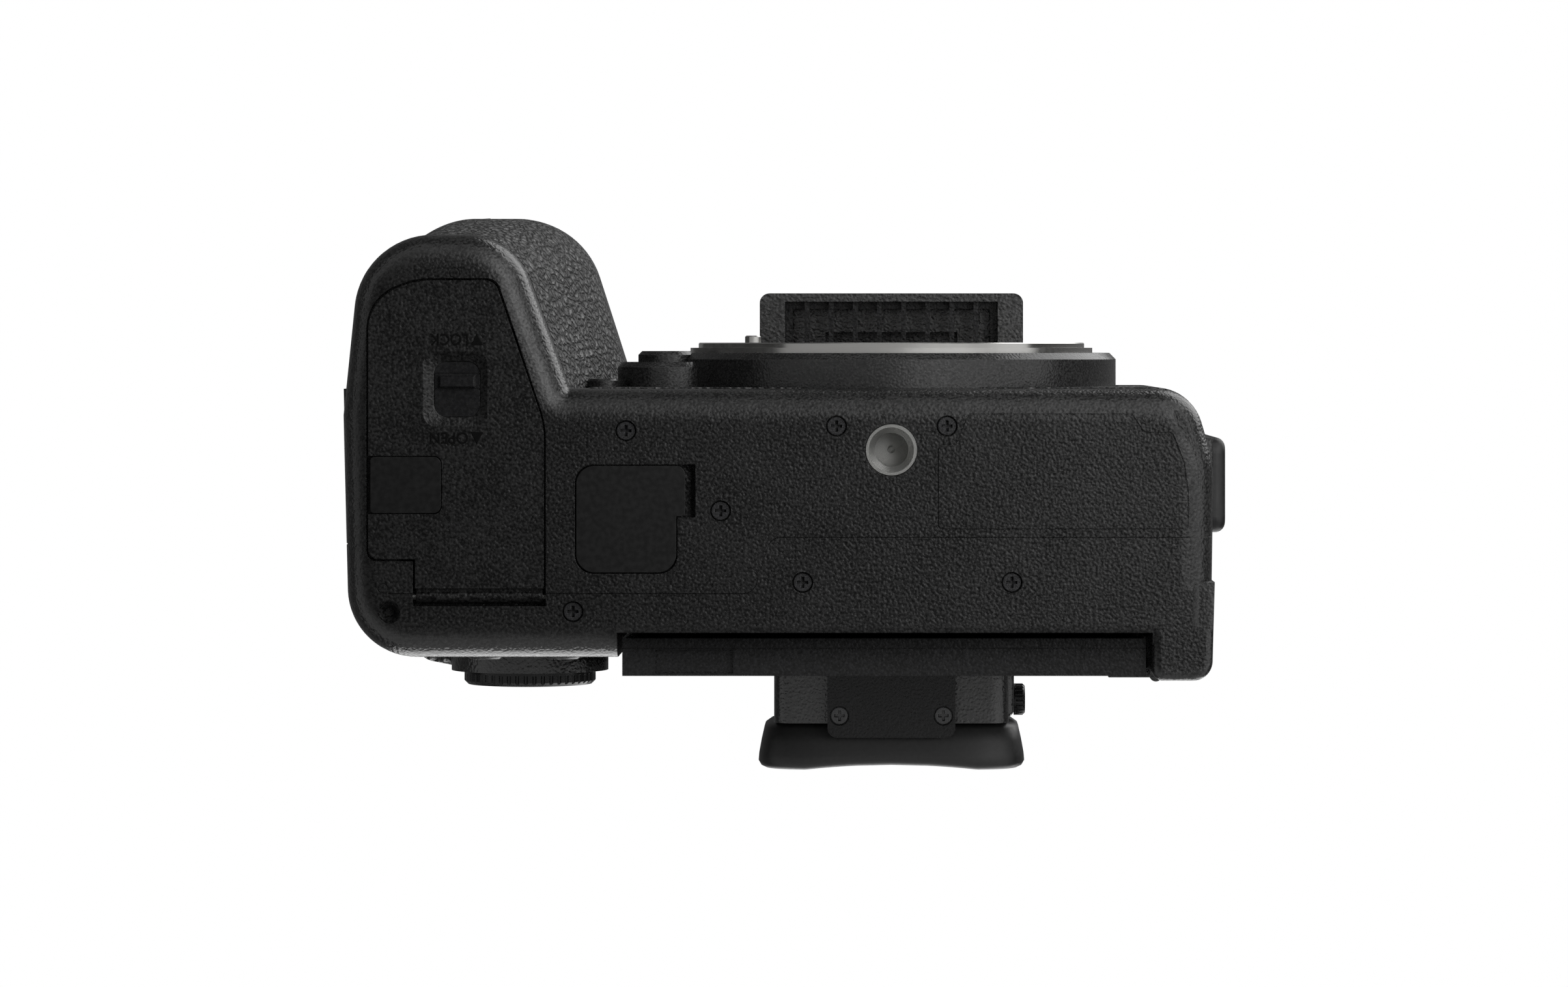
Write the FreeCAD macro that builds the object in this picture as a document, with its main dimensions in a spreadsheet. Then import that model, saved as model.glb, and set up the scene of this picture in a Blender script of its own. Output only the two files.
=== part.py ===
# Full-frame mirrorless camera body, seen with no lens on it.
# Origin: centre of the tripod socket, on the flat underside. +Z is up, -Y is the way the lens points,
# and +X is to the right of someone who faces the front. Lengths are in millimetres, angles in degrees.
import FreeCAD, Part
import ast
import math
import os
import re
import Sketcher

V = FreeCAD.Vector

sizes = {
    # Plan of the casing, measured from the tripod socket's axis.
    "grip_side": 83.2,
    "port_side": 48.9,
    "front_wall": 9.2,
    "rear_wall": 31.5,
    "shoulder": 76.0,
    "wall": 1.6,
    "floor": 3.0,
    "base_round": 5.0,
    "shoulder_round": 3.0,
    "rear_corner": 10.5,
    "port_corner": 7.0,
    "port_lean": 3.3,
    "port_bend_back": 2.0,
    "port_bend": 15.0,
    "column_corner": 3.0,
    "top_split": 66.0,
    "seam_grip": 21.7,
    "seam_port": 13.2,
    "seam_card": 4.6,
    "seam_jog": 18.2,
    "seam_gap": 0.14,
    # Grip: each level has its own front, the corner of its finger side and its heel, 3 mm behind the axis.
    "grip_lip": 9.0,
    "grip_mid": 35.0,
    "grip_bulge": 62.0,
    "grip_crown": 80.0,
    "lip_front": 32.6,
    "mid_front": 34.9,
    "bulge_front": 36.3,
    "crown_front": 35.6,
    "lip_corner": 57.6,
    "mid_corner": 54.4,
    "bulge_corner": 51.0,
    "lip_root": 49.0,
    "lip_heel": 44.5,
    "mid_heel": 41.6,
    "bulge_heel": 38.7,
    "nose_round": 12.0,
    "finger_round": 10.0,
    "bulge_finger": 13.0,
    "nose_back": 3.0,
    "skin": 1.3,
    "crown_drop": 8.0,
    "front_skin": 0.7,
    # Lens mount.
    "lens_height": 43.0,
    "flange_front": 16.2,
    "flange_radius": 30.6,
    "step_radius": 31.9,
    "ring_step": 0.8,
    "throat_radius": 25.8,
    "lug_inner": 24.2,
    "barrel_radius": 31.6,
    "barrel_bore": 27.4,
    "surround_radius": 35.6,
    "surround_front": 14.6,
    "surround_bevel": 1.0,
    "ring_screws": 28.7,
    "ring_screw_head": 1.3,
    "boss_radius": 7.6,
    "boss_side": 35.2,
    "boss_height": 30.0,
    "boss_front": 13.2,
    "release_radius": 4.4,
    "release_front": 14.9,
    "lock_pin_radius": 1.25,
    "lock_pin_side": 21.5,
    "lock_pin_height": 24.2,
    "lock_pin_out": 1.1,
    # Picture chamber, shutter and sensor, all behind the lens mount.
    "sensor_depth": 20.0,
    "frame_wide": 36.0,
    "frame_tall": 24.0,
    "shutter_front": 1.0,
    "shutter_thick": 3.0,
    "blade_tall": 13.6,
    "blade_thick": 0.3,
    "plate_thick": 1.6,
    "board_front": 13.0,
    # Viewfinder tower.
    "tower_top": 98.3,
    "tower_base": 25.0,
    "tower_crest": 16.5,
    "tower_brow": 21.4,
    "brow_front": 24.4,
    "brow_under": 79.2,
    "brow_lip": 1.4,
    "intake_half": 17.6,
    "intake_back": 10.8,
    "slat_pitch": 4.0,
    "slat_thick": 0.8,
    "slat_tall": 2.4,
    "finder_half": 19.3,
    "finder_under": 65.2,
    "finder_top": 92.0,
    "finder_back": 45.8,
    "finder_round": 5.0,
    "cup_half": 22.1,
    "cup_under": 65.3,
    "cup_top": 95.0,
    "cup_front": 45.9,
    "cup_back": 53.7,
    "window_half": 11.5,
    "window_tall": 15.0,
    "bracket_half": 10.4,
    "bracket_back": 48.0,
    "bracket_thick": 2.2,
    "bracket_screw": 8.45,
    # Screen and its hinge.
    "recess_left": 41.5,
    "recess_right": 39.5,
    "recess_front": 27.6,
    "recess_top": 63.6,
    "screen_left": 40.8,
    "screen_right": 38.6,
    "screen_front": 28.6,
    "screen_back": 34.3,
    "screen_under": 3.2,
    "screen_top": 62.8,
    "screen_round": 2.0,
    "column_back": 34.9,
    "hinge_side": 40.6,
    "hinge_back": 34.8,
    "hinge_radius": 1.0,
    "hinge_pin": 0.5,
    "arm_low": 20.0,
    "arm_high": 46.0,
    "arm_inner": 33.6,
    "arm_thick": 1.5,
    # Battery, its door and the covers underneath.
    "door_left": 79.0,
    "door_right": 52.5,
    "door_front": 25.6,
    "door_back": 20.9,
    "step_side": 71.95,
    "step_back": 16.5,
    "slot_back": 23.6,
    "door_thick": 1.5,
    "door_gap": 0.32,
    "door_sink": 0.1,
    "door_axis_back": 22.25,
    "door_axis_height": 1.2,
    "door_pin": 0.5,
    "door_knuckle": 0.95,
    "battery_left": 76.9,
    "battery_front": 18.2,
    "battery_wide": 20.2,
    "battery_deep": 36.6,
    "battery_tall": 50.0,
    "lock_left": 70.7,
    "lock_right": 61.0,
    "lock_front": 14.9,
    "lock_back": 3.5,
    "lever_left": 69.0,
    "lever_right": 62.2,
    "lever_front": 13.3,
    "lever_back": 5.0,
    "coupler_left": 78.7,
    "coupler_right": 67.9,
    "coupler_front": 0.9,
    "coupler_back": 9.7,
    "link_left": 47.6,
    "link_right": 32.5,
    "link_front": 2.4,
    "link_back": 18.5,
    "link_tab": 31.2,
    "link_tab_back": 10.0,
    "link_notch": 29.6,
    "link_thick": 1.3,
    # Tripod socket: quarter-inch thread at its minor diameter.
    "socket_bore": 2.55,
    "socket_deep": 5.5,
    "socket_rim": 3.95,
    "socket_flange": 6.0,
    # Case screws.
    "screw_head": 1.35,
    "screw_well": 1.6,
    "screw_sink": 0.35,
    "screw_shank": 0.8,
    "screw_long": 5.0,
    "bracket_screw_long": 4.0,
    "screw_boss": 2.8,
    "boss_tall": 7.0,
    # Shallow detail.
    "line_wide": 0.25,
    "line_deep": 0.2,
    "mark_radius": 0.85,
    "strip_in": 3.4,
    "strip_deep": 0.8,
    "strip_slope": 1.0,
    "strip_end": 27.0,
    "pad_rise": 0.4,
    "pad_front": 1.6,
    "pad_back": 12.5,
    "flap_thick": 2.0,
    "ease": 0.05,
    # Controls.
    "button_rise": 0.9,
    "button_lip": 0.6,
    "shutter_radius": 5.0,
    "shutter_side": 66.5,
    "shutter_forward": 25.5,
    "lever_radius": 8.4,
    "lever_tall": 2.4,
    "small_button": 2.7,
    "top_button": 3.0,
    "shaft": 1.6,
    "mode_radius": 9.6,
    "mode_side": 46.5,
    "mode_back": 12.0,
    "mode_tall": 6.5,
    "drive_radius": 8.8,
    "drive_in": 11.9,
    "drive_tall": 5.0,
    "rear_dial_radius": 8.6,
    "rear_dial_side": 71.5,
    "rear_dial_back": 21.2,
    "dial_tall": 4.2,
    "wheel_radius": 10.3,
    "wheel_side": 56.8,
    "wheel_height": 34.0,
    "wheel_bed": 35.1,
    "wheel_thick": 2.2,
    "bed_radius": 12.3,
    "front_dial_radius": 6.5,
    "front_dial_wide": 8.0,
    "front_dial_side": 63.0,
    "front_dial_forward": 29.7,
    "front_dial_height": 58.3,
    "diopter_radius": 2.6,
    "diopter_side": 20.2,
    "diopter_back": 42.8,
    "diopter_height": 80.0,
    "set_radius": 3.9,
    "stick_radius": 2.9,
    # Fan.
    "fan_radius": 8.4,
    "fan_floor": 87.0,
    "fan_tall": 6.0,
    "fan_back": 1.5,
    # Strap lugs.
    "lug_height": 70.0,
    "lug_back": 6.0,
    "lug_bore": 1.6,
    "lug_outer": 3.0,
    "lug_thick": 1.8,
    "lug_out": 1.75,
    # Card bay.
    "card_front": 15.1,
    "card_back": 30.0,
    "card_low": 22.0,
    "card_high": 60.0,
}

doc = FreeCAD.newDocument("camera")
sheet = doc.addObject("Spreadsheet::Sheet", "dims")
for row, (alias, size) in enumerate(sizes.items(), 1):
    sheet.set(f"A{row}", alias)
    sheet.set(f"B{row}", str(size))
    sheet.setAlias(f"B{row}", alias)
doc.recompute()


# Formulas: the same text gives a live binding for a property and a number for a shape made here.
def formula(text):
    if not isinstance(text, str):
        return f"{text:.5f}"
    return re.sub(r"[a-z_]+", lambda found: "dims." + found.group(), str(text))


def mm(text):
    def value(node):
        if isinstance(node, ast.BinOp):
            left, right = value(node.left), value(node.right)
            if isinstance(node.op, ast.Add):
                return left + right
            if isinstance(node.op, ast.Sub):
                return left - right
            if isinstance(node.op, ast.Mult):
                return left * right
            return left / right
        if isinstance(node, ast.UnaryOp):
            return -value(node.operand)
        if isinstance(node, ast.Constant):
            return float(node.value)
        return float(sheet.get(node.id))

    return value(ast.parse(str(text)).body[0].value)


def point(place):
    return V(*[mm(text) for text in place])


# Ways a piece can face: its own Z goes along the named direction, and its own Y goes up where it can.
FACING = {
    "up": (V(1, 0, 0), V(0, 1, 0), V(0, 0, 1)),
    "down": (V(-1, 0, 0), V(0, 1, 0), V(0, 0, -1)),
    "front": (V(1, 0, 0), V(0, 0, 1), V(0, -1, 0)),
    "back": (V(-1, 0, 0), V(0, 0, 1), V(0, 1, 0)),
    "port": (V(0, 1, 0), V(0, 0, 1), V(1, 0, 0)),
    "grip": (V(0, -1, 0), V(0, 0, 1), V(-1, 0, 0)),
}


def put(item, at, facing="up", tilt=0.0):
    turn = FreeCAD.Rotation(*FACING[facing], "ZYX")
    lean = FreeCAD.Rotation(V(1, 0, 0), tilt)
    item.Placement = FreeCAD.Placement(point(at), lean.multiply(turn))
    for axis, text in zip("xyz", at):
        item.setExpression("Placement.Base." + axis, formula(text))
    return item


def box(name, low, size):
    item = doc.addObject("Part::Box", name)
    for side, text in zip(("Length", "Width", "Height"), size):
        item.setExpression(side, formula(text))
    return put(item, low)


def rod(name, at, radius, tall, facing="up", tilt=0.0):
    item = doc.addObject("Part::Cylinder", name)
    item.setExpression("Radius", formula(radius))
    item.setExpression("Height", formula(tall))
    return put(item, at, facing, tilt)


def fuse(name, *items):
    item = doc.addObject("Part::MultiFuse", name)
    item.Shapes = list(items)
    return item


def cut(name, base, *tools):
    item = doc.addObject("Part::Cut", name)
    item.Base = base
    item.Tool = tools[0] if len(tools) == 1 else fuse(name + "_tools", *tools)
    return item


def feature(name, shape):
    item = doc.addObject("Part::Feature", name)
    item.Shape = shape
    return item


def plane_of(body, role):
    return [item for item in body.Origin.OriginFeatures if item.Role == role][0]


def polygon_sketch(body, name, points, plane):
    sketch = body.newObject("Sketcher::SketchObject", name)
    sketch.AttachmentSupport = (plane_of(body, plane), "")
    sketch.MapMode = "FlatFace"
    spots = [V(mm(across), mm(up), 0) for across, up in points]
    count = len(spots)
    for k in range(count):
        sketch.addGeometry(Part.LineSegment(spots[k], spots[(k + 1) % count]))
    for k in range(count):
        sketch.addConstraint(Sketcher.Constraint("Coincident", k, 2, (k + 1) % count, 1))
    for k, texts in enumerate(points):
        for kind, text in zip(("DistanceX", "DistanceY"), texts):
            held = sketch.addConstraint(Sketcher.Constraint(kind, -1, 1, k, 1, mm(text)))
            sketch.setExpression(f"Constraints[{held}]", formula(text))
    return sketch


def pad(body, sketch, tall):
    item = body.newObject("PartDesign::Pad", sketch.Name + "_pad")
    item.Profile = sketch
    item.setExpression("Length", formula(tall))
    doc.recompute()
    return item


def soften(body, base, edges, radius, name):
    item = body.newObject("PartDesign::Fillet", body.Name + name)
    item.Base = (base, edges)
    item.setExpression("Radius", formula(radius))
    doc.recompute()
    return item


def edges_at(shape, height):
    return [
        f"Edge{k}"
        for k, edge in enumerate(shape.Edges, 1)
        if edge.BoundBox.ZLength < 1e-6 and abs(edge.BoundBox.ZMin - height) < 1e-6
    ]


def upright_edges(shape, sharp=()):
    found = []
    for k, edge in enumerate(shape.Edges, 1):
        bounds = edge.BoundBox
        if bounds.XLength < 1e-6 and bounds.YLength < 1e-6:
            spot = (round(bounds.XMin, 3), round(bounds.YMin, 3))
            if spot not in sharp:
                found.append(f"Edge{k}")
    return found


def slab(name, outline, tall, at, facing="up", corner=None, edge=None, tilt=0.0, sharp=()):
    """A flat piece: a polygon of formulas, padded, with its upright corners and its outer face rounded."""
    body = doc.addObject("PartDesign::Body", name)
    base = pad(body, polygon_sketch(body, name + "_outline", outline, "XY_Plane"), tall)
    if corner:
        keep = [(round(mm(x), 3), round(mm(y), 3)) for x, y in sharp]
        base = soften(body, base, upright_edges(base.Shape, keep), corner, "_corners")
    if edge:
        soften(body, base, edges_at(base.Shape, mm(tall)), edge, "_edge")
    return put(body, at, facing, tilt)


def turned(name, profile, at, facing="up", tilt=0.0):
    """A piece turned about its own Z from a polygon of (radius, height) formulas."""
    body = doc.addObject("PartDesign::Body", name)
    sketch = polygon_sketch(body, name + "_profile", profile, "XZ_Plane")
    turn = body.newObject("PartDesign::Revolution", name + "_turn")
    turn.Profile = sketch
    turn.ReferenceAxis = (sketch, ["V_Axis"])
    turn.Angle = 360
    doc.recompute()
    return put(body, at, facing, tilt)


def knurl(body, radius, groove, start, tall, count):
    """Round grooves cut into a turned piece's rim, from its own height start upwards."""
    sketch = body.newObject("Sketcher::SketchObject", body.Name + "_groove")
    sketch.AttachmentSupport = (plane_of(body, "XY_Plane"), "")
    sketch.MapMode = "FlatFace"
    sketch.AttachmentOffset = FreeCAD.Placement(V(0, 0, mm(start)), FreeCAD.Rotation())
    sketch.setExpression("AttachmentOffset.Base.z", formula(start))
    sketch.addGeometry(Part.Circle(V(mm(radius), 0, 0), V(0, 0, 1), mm(groove)))
    for constraint, text in (
        (Sketcher.Constraint("DistanceX", -1, 1, 0, 3, mm(radius)), radius),
        (Sketcher.Constraint("DistanceY", -1, 1, 0, 3, 0.0), "0"),
        (Sketcher.Constraint("Radius", 0, mm(groove)), groove),
    ):
        held = sketch.addConstraint(constraint)
        sketch.setExpression(f"Constraints[{held}]", formula(text))
    pocket = body.newObject("PartDesign::Pocket", body.Name + "_cut")
    pocket.Profile = sketch
    pocket.Reversed = True
    pocket.setExpression("Length", formula(tall))
    doc.recompute()
    ring = body.newObject("PartDesign::PolarPattern", body.Name + "_knurl")
    ring.Originals = [pocket]
    ring.Axis = (sketch, ["N_Axis"])
    ring.Angle = 360
    ring.Occurrences = count
    body.Tip = ring
    doc.recompute()
    return body


# Plain shapes for the casings, whose outlines are arcs and lofts.
def rounded_wire(corners, height=0.0):
    """Closed wire through (x, y, radius) corners, with a tangent arc at each one that has a radius."""
    count = len(corners)
    legs = []
    for k, (x, y, radius) in enumerate(corners):
        here = V(x, y, height)
        back = V(*corners[k - 1][:2], height) - here
        ahead = V(*corners[(k + 1) % count][:2], height) - here
        back.normalize()
        ahead.normalize()
        if radius <= 0:
            legs.append((here, None, here))
            continue
        half = back.getAngle(ahead) / 2
        reach = radius / math.tan(half)
        middle = back + ahead
        middle.normalize()
        crown = here + middle * (radius / math.sin(half) - radius)
        legs.append((here + back * reach, crown, here + ahead * reach))
    edges = []
    for k, (start, crown, end) in enumerate(legs):
        if crown is not None:
            edges.append(Part.Arc(start, crown, end).toShape())
        following = legs[(k + 1) % count][0]
        if end.distanceToPoint(following) > 1e-7:
            edges.append(Part.LineSegment(end, following).toShape())
    return Part.Wire(edges)


def prism(corners, low, high):
    face = Part.Face(rounded_wire(corners, low))
    return face.extrude(V(0, 0, high - low))


def block(low, high):
    size = V(*high) - V(*low)
    return Part.makeBox(size.x, size.y, size.z, V(*low))


def bar(at, radius, tall, direction):
    return Part.makeCylinder(radius, tall, V(*at), V(*direction))


def side_prism(corners, low, high):
    """Outline given in (x, z), swept along Y from low to high."""
    shape = prism(corners, 0, high - low)
    shape.rotate(V(0, 0, 0), V(1, 0, 0), 90)
    shape.translate(V(0, high, 0))
    return shape


def profile_prism(corners, low, high):
    """Outline given in (y, z), swept along X from low to high."""
    shape = prism(corners, 0, high - low)
    shape.rotate(V(0, 0, 0), V(1, 1, 1), 120)
    shape.translate(V(low, 0, 0))
    return shape


def plan(inset=0.0, nose=True):
    """Outline of the casing from above. The nose is the part of the grip ahead of the front wall."""
    left, right = -mm("grip_side") + inset, mm("port_side") - inset
    front, rear = -mm("front_wall") + inset, mm("rear_wall") - inset
    grip = [
        (left, front + 4, 0),
        (-mm("grip_side - 2.8") + inset, -mm("lip_front") + inset, mm("nose_round") - inset),
        (-mm("lip_corner") - 0.7 * inset, -mm("lip_front") + inset, mm("finger_round") - inset),
        (-mm("lip_root") - 0.7 * inset, front, 0.5),
    ]
    plain = [(left, front, 0)]
    body = [
        (right - mm("port_lean") + 0.25 * inset, front, mm("port_corner") - inset),
        (right, mm("port_bend_back") + 0.14 * inset, mm("port_bend") - inset),
        (right - 0.4, rear, mm("column_corner") - inset / 2),
        (left + 0.9, rear, mm("rear_corner") - inset),
    ]
    return (grip if nose else plain) + body


def nose_wire(height, front, corner, heel, finger, inset):
    left, back = -mm("grip_side") + 0.3 + inset, mm("nose_back")
    return rounded_wire(
        [
            (left, back, 0),
            (left + 5.4, -front + inset, mm("nose_round") - inset),
            (-corner - 0.73 * inset, -front + inset, finger - inset),
            (-heel - 1.05 * inset, back, 0),
        ],
        height,
    )


def nose(inset=0.0):
    """The grip above its lip: four levels, lofted, with their back edges inside the casing."""
    levels = [("grip_lip", "lip_front", "lip_corner", "lip_heel", "finger_round")]
    levels.append(("grip_mid", "mid_front", "mid_corner", "mid_heel", "finger_round + 1.5"))
    levels.append(("grip_bulge", "bulge_front", "bulge_corner", "bulge_heel", "bulge_finger"))
    levels.append(("grip_crown", "crown_front", "bulge_corner", "bulge_heel", "bulge_finger"))
    wires = [nose_wire(*[mm(text) for text in level], inset) for level in levels]
    return Part.makeLoft(wires, True, False)


CROWN_FRONT = mm("front_wall") - 3
CROWN_RUN = mm("bulge_front") - CROWN_FRONT
CROWN_TILT = math.degrees(math.atan2(mm("crown_drop"), CROWN_RUN))


def crown_height(forward):
    return mm("shoulder") - mm("crown_drop") * max(0.0, forward - CROWN_FRONT) / CROWN_RUN


def crown_axis(x, forward):
    lean = math.radians(CROWN_TILT) if forward > CROWN_FRONT else 0.0
    return V(x, -forward, crown_height(forward)), V(0, -math.sin(lean), math.cos(lean))


def crown_cut():
    """Wedge that slopes the top of the grip down towards its front."""
    deep, top = mm("bulge_front") + 5, mm("shoulder")
    outline = [
        (-CROWN_FRONT, top, 0),
        (-deep, crown_height(deep), 0),
        (-deep, top + 30, 0),
        (-CROWN_FRONT + 3, top + 30, 0),
        (-CROWN_FRONT + 3, top, 0),
    ]
    return profile_prism(outline, -mm("grip_side") - 5, -mm("tower_base") - 8)


def rim_edges(shape, height):
    level = [edge for edge in shape.Edges if edge.BoundBox.ZLength < 1e-6]
    return [edge for edge in level if abs(edge.BoundBox.ZMin - height) < 1e-6]


FAR = 120.0
side, port = mm("grip_side"), mm("port_side")
front, rear = mm("front_wall"), mm("rear_wall")
lip, split, shoulder = mm("grip_lip"), mm("top_split"), mm("shoulder")
lens, wall, floor = mm("lens_height"), mm("wall"), mm("floor")
gap, ease = mm("door_gap"), mm("ease")
column, hinge_x, hinge_y = mm("column_back"), mm("hinge_side"), mm("hinge_back")

base = prism(plan(), 0, lip)
base = base.makeFillet(mm("base_round"), rim_edges(base, 0))
core = prism(plan(nose=False), mm("base_round"), shoulder)
core = core.cut(block((-side - 5, -front - 5, lip), (-side + 22, mm("nose_back"), shoulder + 5)))
column_block = prism(
    [
        (mm("recess_right"), mm("recess_front") - 7.6, 0),
        (port, mm("recess_front") - 7.6, 0),
        (port - 0.4, column, mm("column_corner")),
        (mm("recess_right"), column, mm("column_corner") / 2),
    ],
    0,
    split,
)
column_block = column_block.makeFillet(mm("column_corner") * 0.4, rim_edges(column_block, 0))
inner_nose = nose(mm("skin"))
grip_core = inner_nose.common(block((-FAR, -FAR, lip - 0.01), (FAR, FAR, split)))
outer_nose = nose(0)
crown = outer_nose.common(block((-FAR, -FAR, split), (FAR, FAR, shoulder))).cut(crown_cut())
wheel_bed = bar(
    (-mm("wheel_side"), 25, mm("wheel_height")), mm("bed_radius"), mm("wheel_bed") - 25, (0, 1, 0)
)
thumb = prism(
    [
        (-side + 7.6, 20, 0),
        (-60.0, 20, 0),
        (-61.0, rear + 2.4, 3),
        (-69.0, rear + 3.4, 0),
        (-side + 8.2, rear + 2.2, 3),
    ],
    38.0,
    64.0,
)
thumb = thumb.makeFillet(2.0, rim_edges(thumb, 38.0))
recess = block((-mm("recess_left"), mm("recess_front"), -1), (mm("recess_right"), 60, mm("recess_top")))
pad_top = mm("lug_height") - 7
pad_block = block((port - 8.9, -mm("pad_front"), 14), (port + mm("pad_rise"), mm("pad_back"), pad_top))

lower = base.fuse([core.common(block((-FAR, -FAR, 0), (FAR, FAR, split))), grip_core, column_block])
lower = lower.fuse([wheel_bed, pad_block]).cut(recess)

# Inside of the casing: floor, walls and the bosses that the case screws bite into.
hollow = prism(plan(wall, nose=False), floor, split + 1)
hollow = hollow.cut(block((-FAR, mm("recess_front") - wall, 0), (FAR, FAR, mm("recess_top") + wall)))
hollow = hollow.cut(
    block((-side - 5, -front - 5, lip), (-side + 22 - 0.01, mm("nose_back") + wall, split + 2))
)
grip_rear = prism(plan(wall, nose=False), floor, split + 1)
grip_rear = grip_rear.common(
    block((-FAR, mm("recess_front") - wall - 1, 0), (-mm("recess_left") - wall, rear, 99))
)
foot = prism(plan(3.4), floor, lip + 0.3).common(block((-FAR, -FAR, 0), (-mm("lip_root"), 12, 20)))
grip_hollow = nose(mm("skin") + 1.6).common(block((-FAR, -FAR, 0), (FAR, mm("nose_back"), split + 1)))
battery_room = block(
    (-mm("battery_left") - 1.0, -mm("battery_front") - 1.0, floor),
    (-mm("battery_left") + mm("battery_wide") + 1.0, 8, mm("battery_tall") + floor + 1.6),
)
grip_room = block((-side + 3.4, 1, floor), (-58, 8, split + 1))
cavity = hollow.fuse([grip_rear, foot, grip_hollow, grip_room, battery_room])

SCREWS = [
    (-40.1, -2.9), (-8.3, -3.6), (8.4, -3.6), (-25.8, 9.2), (-13.4, 20.0), (18.2, 20.0), (-48.1, 24.4)
]
MARKS = [(-66.0, -26.7), (-76.8, 20.9), (38.6, -4.9), (41.6, 23.6)]
for x, y in SCREWS:
    cavity = cavity.cut(bar((x, y, 0), mm("screw_boss"), mm("boss_tall"), (0, 0, 1)))
lower = lower.cut(cavity)


def outline_prism(points, low, high):
    return prism([(*spot, 0) if len(spot) == 2 else spot for spot in points], low, high)


def door_outline(grow):
    """Battery door from above: straight left side, curved nose, slanting finger side, a step at the hinge."""
    left, right = -mm("door_left") - grow, -mm("door_right") + grow
    head, back = -mm("door_front") - grow, mm("door_back") + grow
    return [
        (left, head + 3, 7),
        (-mm("step_side"), head, 12),
        (right - 7.4, head, 2.2),
        (right, -3.9, 14),
        (right, back, 0),
        (-mm("step_side") - grow, back, 0),
        (-mm("step_side") - grow, mm("step_back") + grow, 0),
        (left, mm("step_back") + grow, 1.6),
    ]


door_top = mm("door_sink + door_thick")
axis_y, axis_z = mm("door_axis_back"), mm("door_axis_height")
door_well = outline_prism(door_outline(gap), -1, door_top + 0.05)
hinge_well = block((-mm("step_side") - gap, 15, -1), (-mm("door_right") + gap, mm("slot_back"), 2.45))
battery_hole = block(
    (-mm("battery_left") - 0.4, -mm("battery_front") - 0.4, 1),
    (
        -mm("battery_left") + mm("battery_wide") + 0.4,
        -mm("battery_front") + mm("battery_deep") + 0.4,
        floor + 1,
    ),
)
bolt_way = block((-67.4, -27.2, 1.5), (-63.6, 2 - mm("battery_front"), 2.75))
pin_way = bar((-74.6, axis_y, axis_z), mm("door_pin") + ease, 25.2, (1, 0, 0))


def link_outline(grow):
    """Connector cover from above: a rounded square with a pull tab at one corner."""
    left, right = -mm("link_left") - grow, -mm("link_right") + grow
    near, far = mm("link_front") - grow, mm("link_back") + grow
    tab = -mm("link_tab") + grow
    return [
        (left, near, 2.8),
        (tab, near, 1.3),
        (tab, mm("link_tab_back") + grow, 0.6),
        (right, mm("link_tab_back") + grow, 0),
        (right, far, 2.8),
        (left, far, 2.8),
    ]


link_well = outline_prism(link_outline(0.2), -1, mm("link_thick") + 0.25)
pull_well = block(
    (-mm("link_tab") - 2, mm("link_front") - 0.2, -1),
    (-mm("link_notch"), mm("link_tab_back") + 0.2, mm("link_thick") + 0.25),
)
link_hole = block((-45, 6, 1), (-35, 14, floor + 1))
socket_way = bar((0, 0, -1), mm("socket_rim") + ease, floor + 2, (0, 0, 1))
guide_way = Part.makeCone(1.75, 0.6, 2.0, V(-75.9, 24.5, -0.01))
band_line = block((-FAR, 14.2, -1), (-mm("door_left") + 1, 14.42, lip)).cut(
    prism(plan(0.22, nose=False), 0.22, lip + 1)
)
strip_x, strip_z, slope = port - mm("strip_in"), mm("strip_deep"), mm("strip_slope")


def strip_keep(height):
    """Inner side of the band at a height: it leans out with depth, and runs out in a point at the front."""
    out = slope * height / strip_z
    corners = [
        (strip_x - 6.3 + out, -11, 0),
        (strip_x + out, 1.0, 12),
        (strip_x + out, 60, 0),
        (-10, 60, 0),
        (-10, -11, 0),
    ]
    return rounded_wire(corners, height)


strip = prism(plan(-2, nose=False), -1, strip_z).common(block((38, -FAR, -1), (FAR, mm("strip_end"), 2)))
strip = strip.cut(Part.makeLoft([strip_keep(-1.2), strip_keep(strip_z + 0.2)], True, True))

tools = [
    door_well, hinge_well, battery_hole, bolt_way, pin_way, link_well, pull_well, link_hole, socket_way
]
tools += [guide_way, band_line, strip]
for x, y in SCREWS:
    tools.append(bar((x, y, -1), mm("screw_well"), 1 + mm("screw_sink") + 0.9, (0, 0, 1)))
    tools.append(bar((x, y, 0), mm("screw_shank") + 0.02, mm("screw_long") + 1.2, (0, 0, 1)))
for x, y in MARKS:
    ring = bar((x, y, -1), mm("mark_radius"), 1.15, (0, 0, 1))
    tools.append(ring.cut(bar((x, y, -2), mm("mark_radius") - 0.2, 4, (0, 0, 1))))

# Label field: a fine groove round a bare patch.
FIELD = [
    (6.9, -0.9, 0.8),
    (9.6, -0.9, 1.2),
    (11.4, -5.5, 1.2),
    (36.4, -5.5, 0.8),
    (38.2, -2.7, 1.0),
    (42.5, -2.7, 0.8),
    (44.3, 2.0, 0),
    (44.9, 6.5, 0),
    (44.9, 12.1, 0.8),
    (6.9, 12.1, 0.8),
]
inner_field = prism([(25 + (x - 25) * 0.986, 4 + (y - 4) * 0.972, r * 0.8) for x, y, r in FIELD], -2, 1)
tools.append(prism(FIELD, -1, mm("line_deep")).cut(inner_field))

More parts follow.
